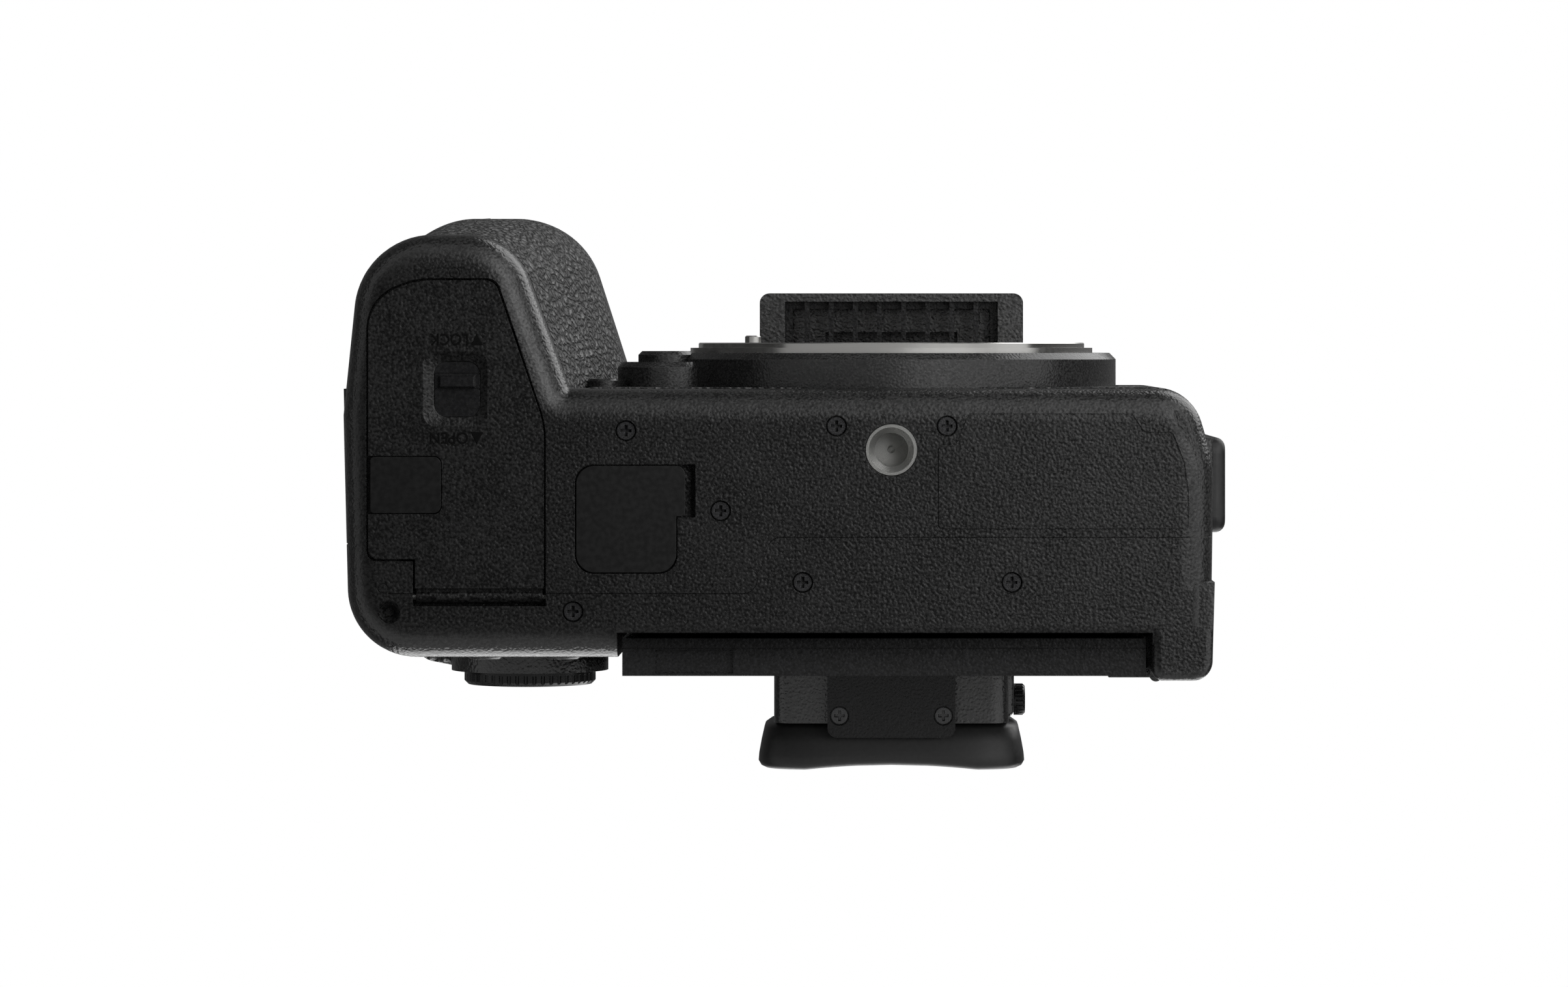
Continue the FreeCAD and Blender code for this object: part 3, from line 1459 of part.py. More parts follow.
# Tripod socket: a brass insert with a flange above the casing's floor.
turned(
    "tripod_socket",
    [
        ("socket_bore", "0.02"),
        ("socket_rim - 0.12", "0.02"),
        ("socket_rim", "0.14"),
        ("socket_rim", "floor"),
        ("socket_flange", "floor"),
        ("socket_flange", "socket_deep + 1.2"),
        ("0", "socket_deep + 1.2"),
        ("0", "socket_deep + 0.35"),
        ("0.6", "socket_deep"),
        ("socket_bore", "socket_deep"),
    ],
    ("0", "0", "0"),
)

# Battery, its tube and the hinged door with its sliding lock and cable flap.
battery_place = ("0 - battery_left", "0 - battery_front", "floor + 0.15")
slab(
    "battery",
    [("0", "0"), ("battery_wide", "0"), ("battery_wide", "battery_deep"), ("0", "battery_deep")],
    "battery_tall",
    battery_place,
    corner="1.5",
    edge="0.6",
)
tube_out = box(
    "tube_out",
    ("0 - battery_left - 0.85", "0 - battery_front - 0.85", "floor"),
    ("battery_wide + 1.7", "battery_deep + 1.7", "battery_tall + 1.4"),
)
tube_in = box(
    "tube_in",
    ("0 - battery_left - 0.1", "0 - battery_front - 0.1", "floor - 1"),
    ("battery_wide + 0.2", "battery_deep + 0.2", "battery_tall + 1.2"),
)
cut("battery_tube", tube_out, tube_in)

door_low = mm("door_sink")
door = outline_prism(door_outline(0), door_low, door_top)
tab_left, tab_right = -mm("step_side") + 0.2, -mm("door_right") - 0.2
door = door.fuse(block((tab_left, mm("door_back") - 1, 0.7), (tab_right, axis_y, door_top)))
door = door.fuse(bar((tab_left, axis_y, axis_z), mm("door_knuckle"), tab_right - tab_left, (1, 0, 0)))
door = door.cut(
    bar((tab_left - 1, axis_y, axis_z), mm("door_pin") + ease, tab_right - tab_left + 2, (1, 0, 0))
)
lock_left, lock_right = -mm("lock_left"), -mm("lock_right")
lock_front, lock_back = -mm("lock_front"), -mm("lock_back")
lever_low = door_low + 0.53
lever_left, lever_right = -mm("lever_left"), -mm("lever_right")
lever_front, lever_back = -mm("lever_front"), -mm("lever_back")


def dish_wire(grow, height):
    left, right, near, far = (
        lever_left + (lock_left - lever_left) * grow,
        lever_right + (lock_right - lever_right) * grow,
        lever_front + (lock_front - lever_front) * grow,
        lever_back + (lock_back - lever_back) * grow,
    )
    return rounded_wire([(left, near, 2), (right, near, 2), (right, far, 2), (left, far, 2)], height)


lock_well = Part.makeLoft([dish_wire(1.1, door_low - 0.05), dish_wire(0, lever_low - 0.03)], True, True)
lock_well = lock_well.fuse(
    block(
        (lever_left - 0.25, lever_front - 1.6, lever_low - 0.05),
        (lever_right + 0.25, lever_back + 0.1, lever_low + 0.38),
    ),
)
lock_slot = block((-67.0, -12.9, 0), (-64.0, -6.4, 5))
coupler = [
    (-mm("door_left") - 1, mm("coupler_front"), 0),
    (-mm("coupler_right"), mm("coupler_front"), 1.2),
    (-mm("coupler_right"), mm("coupler_back"), 1.2),
    (-mm("door_left") - 1, mm("coupler_back"), 0),
]
marks = []
for y, way in ((lock_front - 1.0, -1), (lock_back + 0.9, 1)):
    marks.append(prism([(-63.5, y, 0), (-61.7, y, 0), (-62.6, y + way * 1.6, 0)], -1, door_low + 0.15))
door = door.cut(Part.makeCompound([lock_well, lock_slot, prism(coupler, -1, 5), *marks]))
feature("battery_door", door)
lever = block((lever_left, lever_front, lever_low), (lever_right, lever_back, lever_low + 0.3))
for y in (-11.6, -9.3):
    lever = lever.cut(
        block((lever_left - 1, y, lever_low - 1), (lever_right + 1, y + 0.3, lever_low + 0.1))
    )
ridge = block((lever_left + 0.7, -11.2, door_low - 0.05), (lever_right - 0.7, -9.4, lever_low + 0.2))
lever = lever.fuse(ridge.makeChamfer(0.2, rim_edges(ridge, door_low - 0.05)))
lever = lever.fuse(block((-66.9, -11.3, lever_low + 0.1), (-64.1, -6.6, 2.4)))
lever = lever.fuse(block((-66.9, -mm("door_front") + 0.3, door_top + 0.05), (-64.1, -6.6, 2.4)))
feature("door_lock", lever)
rod("door_pin", ("0 - 74.4", "door_axis_back", "door_axis_height"), "door_pin", "24.8", "port")
flap = prism(
    [
        (-mm("coupler_left"), mm("coupler_front") + 0.15, 0.6),
        (-mm("coupler_right") - 0.15, mm("coupler_front") + 0.15, 1.1),
        (-mm("coupler_right") - 0.15, mm("coupler_back") - 0.15, 1.1),
        (-mm("coupler_left"), mm("coupler_back") - 0.15, 0.6),
    ],
    door_low,
    door_top - 0.2,
)
feature("cable_flap", flap)

# Connector cover and the socket behind it.
feature("connector_cover", outline_prism(link_outline(0), 0.14, mm("link_thick")))
link_flange = box("link_flange", ("0 - 46", "5", "floor"), ("12", "10", "2"))
link_body = box("link_body", ("0 - 44.95", "6.05", "link_thick + 0.5"), ("9.9", "7.9", "3"))
link_mouth = box("link_mouth", ("0 - 44", "7.4", "0"), ("8", "5.2", "3.8"))
cut("grip_connector", fuse("link_stock", link_flange, link_body), link_mouth)

# Card bay: curved door with a pin at each end, and a twin slot.
card_pin = bar(
    (card_axis_x, card_axis_y, mm("card_low") - 2.8), 0.4, mm("card_high - card_low") + 5.6, (0, 0, 1)
)
feature("card_door", biggest(card_wall).fuse(card_pin))
slot_y = "battery_deep - battery_front + 1.15"
slot_box = box("slot_box", ("0 - 75.4", slot_y, "27"), ("29.4", "8.4", "30"))
slot_one = box("slot_one", ("0 - 77", slot_y + " + 1.1", "29.6"), ("29.6", "2.3", "24.8"))
slot_two = box("slot_two", ("0 - 77", slot_y + " + 4.9", "29.6"), ("29.6", "2.3", "24.8"))
cut("card_slot", slot_box, slot_one, slot_two)

# Side sockets and the two rubber flaps over them.
sockets = [box("port_board", ("port_side - 13", "0 - 2", "17"), ("1.3", "14.6", "45"))]
socket_x = "port_side - 11.8"
mouths = []
for name, y, z, wide, tall in (("usb", 2.05, 21.05, 8.9, 3.9), ("video", 1.05, 29.05, 10.5, 6.1)):
    sockets.append(box(name + "_body", (socket_x, y, z), ("12.1", wide, tall)))
    mouths.append(
        box(name + "_mouth", (socket_x + " + 2.2", y + 0.4, z + 0.4), ("12", wide - 0.8, tall - 0.8))
    )
for name, z in (("phone", 46.5), ("microphone", 56.5)):
    sockets.append(rod(name + "_body", (socket_x, 6, z), 2.95, 12.1, "port"))
    mouths.append(rod(name + "_bore", (socket_x + " + 1.2", 6, z), 1.8, 12, "port"))
cut("port_sockets", fuse("socket_stock", *sockets), *mouths)
for name, low, high in (("lower_port_flap", 15.0, 40.6), ("upper_port_flap", 41.0, "lug_height - 7.6")):
    slab(
        name,
        [
            ("0 - pad_front", low),
            ("pad_back + 0.5", low),
            ("pad_back + 0.5", high),
            ("0 - pad_front", high),
        ],
        "flap_thick",
        ("port_side + pad_rise + 0.1", "0", "0"),
        "port",
        corner="2.4",
        edge="1.5",
    )

# Screen: housing with a notch for its swing arm, cover glass, and the arm with its hinge pin.
screen = box(
    "screen_block",
    ("0 - screen_left", "screen_front", "screen_under"),
    ("screen_left + screen_right", "screen_back - screen_front", "screen_top - screen_under"),
)
notch = box(
    "screen_notch", ("arm_inner - 0.2", "20", "arm_low - 0.4"), ("20", "30", "arm_high - arm_low + 0.8")
)
glass_well = box(
    "glass_well",
    ("0 - screen_left + 4", "screen_back - 0.6", "screen_under + 4"),
    ("screen_left + arm_inner - 6", "5", "screen_top - screen_under - 8"),
)
finger = box("finger_well", ("0 - 35.8", "30.3", "screen_under - 1"), ("11.8", "3.6", "1.9"))
parting = box("parting_line", ("0 - 60", "30", "screen_under - 0.1"), ("120", "0.2", "0.3"))
cut("screen_housing", screen, notch, glass_well, finger, parting)
box(
    "screen_glass",
    ("0 - screen_left + 4.05", "screen_back - 0.6", "screen_under + 4.05"),
    ("screen_left + arm_inner - 6.1", "0.55", "screen_top - screen_under - 8.1"),
)
arm_block = box(
    "arm_block",
    ("arm_inner", "screen_front + 1.6", "arm_low"),
    ("hinge_side - 1.6 - arm_inner", "hinge_back + 0.75 - screen_front - 1.6", "arm_high - arm_low"),
)
arm_leaf = box(
    "arm_leaf",
    ("arm_inner", "hinge_back - 0.75", "arm_low"),
    ("hinge_side - arm_inner", "1.5", "arm_high - arm_low"),
)
arm_barrel = rod(
    "arm_barrel", ("hinge_side", "hinge_back", "arm_low"), "hinge_radius", "arm_high - arm_low"
)
arm_pin = rod(
    "arm_pin", ("hinge_side", "hinge_back", "arm_low - 4.9"), "hinge_pin", "arm_high - arm_low + 9.8"
)
fuse("screen_arm", arm_block, arm_leaf, arm_barrel, arm_pin)

# Viewfinder: tube, glass, display, rubber eyecup and the bracket under it.
tube_y = 27.0
tube_stock = box(
    "finder_stock", (-14, tube_y, "diopter_height - 9.4"), (28, f"finder_back - {tube_y} - 2", 18.8)
)
tube_flange = box(
    "finder_flange",
    ("0 - finder_half + 3.9", "finder_back - 2.6", "finder_under + 2.4"),
    ("finder_half * 2 - 7.8", "2.4", "diopter_height + 8.9 - finder_under - 2.4"),
)
tube_bore = box(
    "finder_bore",
    ("0 - window_half", tube_y + 2, "diopter_height - window_tall / 2"),
    ("window_half * 2", "40", "window_tall"),
)
diopter_way = rod("diopter_way", ("12", "diopter_back", "diopter_height"), "1.25", "10", "port")
cut("finder_tube", fuse("finder_tube_stock", tube_stock, tube_flange), tube_bore, diopter_way)
box(
    "eyepiece_glass",
    ("0 - window_half + 0.05", "finder_back - 1.8", "diopter_height - window_tall / 2 + 0.05"),
    ("window_half * 2 - 0.1", "1.4", "window_tall - 0.1"),
)
cup_outline = [
    ("0 - cup_half", "cup_under"),
    ("cup_half", "cup_under"),
    ("cup_half", "cup_top"),
    ("0 - cup_half", "cup_top"),
]
cup_stock = slab(
    "cup_stock",
    cup_outline,
    "cup_back - cup_front",
    ("0", "cup_front", "0"),
    "back",
    corner="8",
    edge="2.6",
)
cup_hole = box("cup_hole", ("0 - 15", "40", "diopter_height - 10"), ("30", "20", "20"))
cut("eyecup", cup_stock, cup_hole)
bracket_outline = [
    ("0 - bracket_half", "rear_wall + 0.15"),
    ("bracket_half", "rear_wall + 0.15"),
    ("bracket_half", "bracket_back"),
    ("0 - bracket_half", "bracket_back"),
]
bracket_plate = slab(
    "bracket_plate",
    bracket_outline,
    "bracket_thick",
    ("0", "0", "finder_under - bracket_thick"),
    corner="1.6",
)
bracket_holes = []
for k, (x, y) in enumerate(BRACKET_SCREWS):
    bracket_holes.append(
        rod(f"bracket_head_{k}", (x, y, "finder_under - bracket_thick - 1"), "screw_well", "2.0")
    )
    bracket_holes.append(
        rod(f"bracket_hole_{k}", (x, y, "finder_under - bracket_thick - 1"), "screw_shank + 0.02", "5")
    )
cut("finder_bracket", bracket_plate, *bracket_holes)

# Cooling: slatted intake under the brow and a small fan behind it.
slats = [
    box(
        f"slat_{k}",
        (
            f"slat_pitch * {k - 3.5} - slat_thick / 2",
            "0 - brow_front + brow_lip + 0.05",
            "brow_under + 0.8",
        ),
        ("slat_thick", "brow_front - brow_lip - intake_back - 0.1", "slat_tall"),
    )
    for k in range(8)
]
frame_out = box(
    "intake_out",
    ("0 - intake_half + 0.05", "0 - brow_front + brow_lip + 0.05", "brow_under + 3"),
    ("intake_half * 2 - 0.1", "brow_front - brow_lip - intake_back - 0.1", "1"),
)
frame_in = box(
    "intake_in",
    ("0 - intake_half + 1.2", "0 - brow_front + brow_lip + 1.2", "brow_under"),
    ("intake_half * 2 - 2.4", "brow_front - brow_lip - intake_back - 2.4", "9"),
)
fuse("intake_grille", cut("intake_frame", frame_out, frame_in), *slats)
fan_place = ("0", "fan_back", "fan_floor")
fan_ring = rod("fan_ring", fan_place, "fan_radius + 1.4", "tower_top - 1.8 - fan_floor")
fan_bore = rod("fan_bore", ("0", "fan_back", "fan_floor - 1"), "fan_radius + 0.4", "fan_tall + 1.6")
fan_mouth = box("fan_mouth", ("0 - 4", "0", "fan_floor - 1"), ("8", "40", "fan_tall"))
fan_post = rod("fan_post", ("0", "fan_back", "fan_floor + 1"), "1", "fan_tall + 1")
fuse("fan_housing", cut("fan_cup", fan_ring, fan_bore, fan_mouth), fan_post)
hub = turned(
    "fan_hub",
    [
        ("1 + ease", "0.4"),
        ("3", "0.4"),
        ("3", "fan_tall - 0.6"),
        ("1 + ease", "fan_tall - 0.6"),
    ],
    fan_place,
)
vanes = []
for k in range(9):
    vane = block((2.6, -0.3, 0.6), (mm("fan_radius"), 0.3, mm("fan_tall") - 0.8))
    vane.rotate(V(2.6, 0, 0), V(0, 0, 1), 24)
    vane.rotate(V(0, 0, 0), V(0, 0, 1), 40 * k)
    vane.translate(point(fan_place))
    vanes.append(feature(f"vane_{k}", vane))
fuse("fan_rotor", hub, *vanes)

# Accessory shoe and the two strap lugs.
SHOE = [("10.7", "0"), ("10.7", "4"), ("6.25", "4"), ("6.25", "2.5"), ("9.3", "2.5"), ("9.3", "0.4")]
shoe_outline = SHOE + [("0 - " + x, z) for x, z in reversed(SHOE)]
slab("hot_shoe", shoe_outline, "18.5", ("0", "4", "tower_top"), "back")
lugs = []
for k, x in enumerate(("0 - grip_side - lug_out", "port_side - 0.2 + lug_out")):
    lug_disc = rod(
        f"lug_disc_{k}", (x, "lug_back - lug_thick / 2", "lug_height"), "lug_outer", "lug_thick", "back"
    )
    lugs.append(
        cut(f"lug_{k}", lug_disc, rod(f"lug_hole_{k}", (x, "0", "lug_height"), "lug_bore", "20", "back"))
    )
fuse("strap_lugs", *lugs)

NODES = """
front_shell rear_shell top_cover grip_cover front_leather thumb_rest chassis mount_surround
mount_ring mount_screws lock_pin release_button front_button shutter_frame shutter_blade_lead
shutter_blade_rear image_sensor sensor_carriage sensor_base main_board tripod_socket case_screws
battery battery_tube battery_door door_lock door_pin cable_flap connector_cover grip_connector
card_door card_slot port_sockets lower_port_flap upper_port_flap screen_housing screen_glass
screen_arm finder_tube eyepiece_glass eyecup finder_bracket intake_grille fan_housing fan_rotor
hot_shoe strap_lugs shutter_button power_lever mode_dial rear_dial drive_dial record_button
play_button delete_button control_wheel set_button joystick front_dial diopter_dial
""".split()

doc.recompute()
faults = [item.Name for item in doc.Objects if "Invalid" in item.State or "Error" in item.State]
if faults:
    raise SystemExit("did not rebuild: " + ", ".join(faults))
os.makedirs("parts", exist_ok=True)
for name in NODES:
    item = doc.getObject(name)
    if item is None or item.Shape.isNull() or not item.Shape.isValid() or item.Shape.Volume <= 0:
        raise SystemExit("bad shape: " + name)
    item.Label = name
    item.Shape.exportStep("parts/" + name + ".step")
print("nodes", len(NODES))
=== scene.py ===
import math

import bmesh
import bpy
from mathutils import Matrix, Vector


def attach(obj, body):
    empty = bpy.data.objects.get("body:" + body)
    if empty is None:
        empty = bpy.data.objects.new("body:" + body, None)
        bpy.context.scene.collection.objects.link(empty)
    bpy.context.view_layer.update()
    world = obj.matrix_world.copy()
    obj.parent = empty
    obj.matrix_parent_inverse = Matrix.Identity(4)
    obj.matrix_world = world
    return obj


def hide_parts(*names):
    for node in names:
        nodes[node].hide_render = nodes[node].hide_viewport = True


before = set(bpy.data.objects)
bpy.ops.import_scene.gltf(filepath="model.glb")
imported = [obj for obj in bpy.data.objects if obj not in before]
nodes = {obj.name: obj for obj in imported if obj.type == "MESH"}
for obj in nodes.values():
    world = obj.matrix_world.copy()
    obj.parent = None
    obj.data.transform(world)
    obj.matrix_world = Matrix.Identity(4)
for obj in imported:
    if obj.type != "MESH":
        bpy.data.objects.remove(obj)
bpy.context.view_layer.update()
mm = 0.001
scene = bpy.context.scene
print("frame loaded,", len(nodes), "nodes")

# The photograph was taken straight from below, with the lens side up in the picture.
photoView = {"distance": 820.0, "forward": 15.8, "lens": 124.7, "shiftX": -0.0685, "shiftY": -0.0945}
camera = bpy.data.cameras.new("photoCamera")
camera.sensor_width = 36.0
camera.lens = photoView["lens"]
camera.shift_x = photoView["shiftX"]
camera.shift_y = photoView["shiftY"]
camera.clip_start = 0.05
camera.clip_end = 20.0
cameraObject = bpy.data.objects.new("photoCamera", camera)
cameraObject.location = (0.0, -photoView["forward"] * mm, -photoView["distance"] * mm)
cameraObject.rotation_euler = (math.pi, 0.0, 0.0)
scene.collection.objects.link(cameraObject)
scene.camera = cameraObject
scene.view_settings.view_transform = "Standard"


# Colours are written as sRGB hex and turned to linear here.
def colour(text):
    parts = [int(text[k : k + 2], 16) / 255 for k in (1, 3, 5)]
    return tuple(p / 12.92 if p <= 0.04045 else ((p + 0.055) / 1.055) ** 2.4 for p in parts) + (1.0,)


# Adds a node; settings go to its sockets or its properties, links name the output that feeds each socket.
def addNode(tree, kind, settings=None, links=None):
    node = tree.nodes.new(kind)
    for key, value in (settings or {}).items():
        if isinstance(key, int) or key in node.inputs:
            node.inputs[key].default_value = value
        else:
            setattr(node, key, value)
    for key, source in (links or {}).items():
        tree.links.new(source, node.inputs[key])
    return node


def startMaterial(name, sockets):
    material = bpy.data.materials.new(name)
    material.use_nodes = True
    tree = material.node_tree
    shader = tree.nodes["Principled BSDF"]
    for key, value in sockets.items():
        shader.inputs[key].default_value = value
    coords = addNode(tree, "ShaderNodeTexCoord").outputs["Object"]
    return material, tree, shader, coords


def addRamp(tree, factor, stops):
    ramp = addNode(tree, "ShaderNodeValToRGB", links={"Fac": factor})
    for k, (position, tone) in enumerate(stops):
        element = ramp.color_ramp.elements[k] if k < 2 else ramp.color_ramp.elements.new(position)
        element.position = position
        element.color = colour(tone)
    return ramp.outputs["Color"]


# Grainy skins: paint over cast alloy, spark-textured plastic and moulded rubber differ in grain, depth and
# tone. An edge width rounds the edges in the shading and lifts their tone a little: a painted highlight along
# every edge. Pits lie between the grains, patches are broad soft changes of tone, and the edge highlight is
# the lift of tone on an edge.
grainLook = {
    "mirror": 0.95,
    "pitScale": 0.8,
    "pitSoft": 0.5,
    "pitShare": 0.7,
    "patch": 9.0,
    "patchShare": 0.35,
    # The next three set the painted highlight along edges: where it starts, where it is full and how far it
    # lifts the tone.
    "edgeHighlightFrom": 0.995,
    "edgeHighlightTo": 0.8,
    "edgeHighlightLift": 0.16,
    "darkAt": 0.54,
    "lightAt": 0.82,
    "smoothAt": 0.3,
    "roughAt": 0.7,
}


def makeGrainSkin(name, dark, light, grain, depth, roughness, sockets=None, spread=0.08, edge=0.12):
    look = grainLook
    allSockets = {"Specular IOR Level": look["mirror"], **(sockets or {})}
    material, tree, shader, coords = startMaterial(name, allSockets)
    fine = addNode(
        tree,
        "ShaderNodeTexNoise",
        {"Scale": 1 / (grain * mm), "Detail": 1.0, "Roughness": 0.4},
        {"Vector": coords},
    )
    pits = addNode(
        tree,
        "ShaderNodeTexVoronoi",
        {"feature": "SMOOTH_F1", "Scale": look["pitScale"] / (grain * mm), "Smoothness": look["pitSoft"]},
        {"Vector": coords},
    )
    height = addNode(
        tree,
        "ShaderNodeMath",
        {"operation": "MULTIPLY_ADD", 1: look["pitShare"]},
        {0: pits.outputs["Distance"], 2: fine.outputs["Fac"]},
    )
    broad = addNode(
        tree,
        "ShaderNodeTexNoise",
        {"Scale": 1 / (look["patch"] * mm), "Detail": 2.0},
        {"Vector": coords},
    )
    # Painted highlight on the grain, mixed with tone that varies at random: the tone adds broad patches to
    # the same fine noise that raises the grain, so the grain tops come out lighter.
    tone = addNode(
        tree,
        "ShaderNodeMath",
        {"operation": "MULTIPLY_ADD", 1: look["patchShare"]},
        {0: broad.outputs["Fac"], 2: fine.outputs["Fac"]},
    )
    rounded = addNode(tree, "ShaderNodeBevel", {"samples": 4, "Radius": edge * mm})
    flat = addNode(tree, "ShaderNodeNewGeometry").outputs["True Normal"]
    turn = addNode(
        tree,
        "ShaderNodeVectorMath",
        {"operation": "DOT_PRODUCT"},
        {0: rounded.outputs["Normal"], 1: flat},
    )
    # Painted highlight: the tone is lifted where the rounded normal turns away from the flat one, along every
    # edge.
    edgeHighlight = addNode(
        tree,
        "ShaderNodeMapRange",
        {"From Min": look["edgeHighlightFrom"], "From Max": look["edgeHighlightTo"], "To Max": look["edgeHighlightLift"]},
        {"Value": turn.outputs["Value"]},
    )
    lit = addNode(
        tree,
        "ShaderNodeMath",
        {"operation": "ADD"},
        {0: tone.outputs[0], 1: edgeHighlight.outputs["Result"]},
    )
    tones = addRamp(tree, lit.outputs[0], [(look["darkAt"], dark), (look["lightAt"], light)])
    tree.links.new(tones, shader.inputs["Base Color"])
    span = {"From Min": look["smoothAt"], "From Max": look["roughAt"]}
    reach = {"To Min": roughness - spread, "To Max": roughness + spread}
    rough = addNode(tree, "ShaderNodeMapRange", {**span, **reach}, {"Value": fine.outputs["Fac"]})
    tree.links.new(rough.outputs["Result"], shader.inputs["Roughness"])
    bump = addNode(
        tree,
        "ShaderNodeBump",
        {"Strength": 1.0, "Distance": depth * mm},
        {"Height": height.outputs[0], "Normal": rounded.outputs["Normal"]},
    )
    tree.links.new(bump.outputs["Normal"], shader.inputs["Normal"])
    return material


# Turned metal: lathe rings about one axis through a centre, in millimetres. The wave pattern has 20 / (2 pi)
# rings to the metre for each unit of scale. Real rings are finer: these are as coarse as they need to show.
turnedLook = {"smoother": 0.06, "rougher": 0.08, "strength": 0.35, "depth": 0.01}


def makeTurnedMetal(name, tone, roughness, centre, direction, pitch):
    look = turnedLook
    material, tree, shader, coords = startMaterial(name, {"Metallic": 1.0, "Base Color": colour(tone)})
    place = addNode(
        tree,
        "ShaderNodeMapping",
        {"vector_type": "POINT", "Location": tuple(-c * mm for c in centre)},
        {"Vector": coords},
    )
    rings = addNode(
        tree,
        "ShaderNodeTexWave",
        {
            "wave_type": "RINGS",
            "rings_direction": direction,
            "Scale": 2 * math.pi / (pitch * mm) / 20,
            "Distortion": 0.6,
            "Detail": 2.0,
            "Detail Scale": 2.0,
        },
        {"Vector": place.outputs["Vector"]},
    )
    rough = addNode(
        tree,
        "ShaderNodeMapRange",
        {"To Min": roughness - look["smoother"], "To Max": roughness + look["rougher"]},
        {"Value": rings.outputs["Fac"]},
    )
    tree.links.new(rough.outputs["Result"], shader.inputs["Roughness"])
    bump = addNode(
        tree,
        "ShaderNodeBump",
        {"Strength": look["strength"], "Distance": look["depth"] * mm},
        {"Height": rings.outputs["Fac"]},
    )
    tree.links.new(bump.outputs["Normal"], shader.inputs["Normal"])
    return material


# Polyurethane leather, embossed: pebbles parted by creases, with painted shade darkening the creases and
# painted highlight lightening the pebble tops. Sizes are in millimetres.
leatherLook = {
    "upright": 0.5,  # the pebbles are drawn out this way
    "pebble": 1.3,
    "warp": 1.4,
    "bend": 1.2,
    "crease": 0.34,
    "fine": 0.34,
    "fineShare": 0.25,
    "depth": 0.6,
    # The dark tone is painted shade in the creases, and the light tone is painted highlight on the pebble
    # tops.
    "dark": "#020202",
    "light": "#505050",
    "darkAt": 0.15,
    "lightAt": 0.95,
    "creaseRough": 0.5,
    "pebbleRough": 0.28,
}


def makeLeather(name, look):
    material, tree, shader, coords = startMaterial(name, {"Specular IOR Level": 0.45})
    stretched = addNode(tree, "ShaderNodeMapping", {"Scale": (1.0, 1.0, look["upright"])}, {"Vector": coords})
    coords = stretched.outputs["Vector"]
    warp = addNode(
        tree,
        "ShaderNodeTexNoise",
        {"Scale": 1 / (look["warp"] * mm), "Detail": 1.0},
        {"Vector": coords},
    )
    bent = addNode(
        tree,
        "ShaderNodeVectorMath",
        {"operation": "MULTIPLY_ADD", 1: (look["bend"] * mm,) * 3},
        {0: warp.outputs["Color"], 2: coords},
    )
    cells = addNode(
        tree,
        "ShaderNodeTexVoronoi",
        {"feature": "DISTANCE_TO_EDGE", "Scale": 1 / (look["pebble"] * mm)},
        {"Vector": bent.outputs["Vector"]},
    )
    crease = addNode(
        tree,
        "ShaderNodeMapRange",
        {"From Min": 0.0, "From Max": look["crease"]},
        {"Value": cells.outputs["Distance"]},
    )
    fine = addNode(
        tree,
        "ShaderNodeTexNoise",
        {"Scale": 1 / (look["fine"] * mm), "Detail": 0.0},
        {"Vector": coords},
    )
    height = addNode(
        tree,
        "ShaderNodeMath",
        {"operation": "MULTIPLY_ADD", 1: look["fineShare"]},
        {0: fine.outputs["Fac"], 2: crease.outputs["Result"]},
    )
    # Painted shade and highlight: the tone follows the crease mask, dark in the creases and light on the
    # pebble tops.
    stops = [(look["darkAt"], look["dark"]), (look["lightAt"], look["light"])]
    tree.links.new(addRamp(tree, crease.outputs["Result"], stops), shader.inputs["Base Color"])
    rough = addNode(
        tree,
        "ShaderNodeMapRange",
        {"To Min": look["creaseRough"], "To Max": look["pebbleRough"]},
        {"Value": crease.outputs["Result"]},
    )
    tree.links.new(rough.outputs["Result"], shader.inputs["Roughness"])
    bump = addNode(
        tree,
        "ShaderNodeBump",
        {"Strength": 1.0, "Distance": look["depth"] * mm},
        {"Height": height.outputs[0]},
    )
    tree.links.new(bump.outputs["Normal"], shader.inputs["Normal"])
    return material


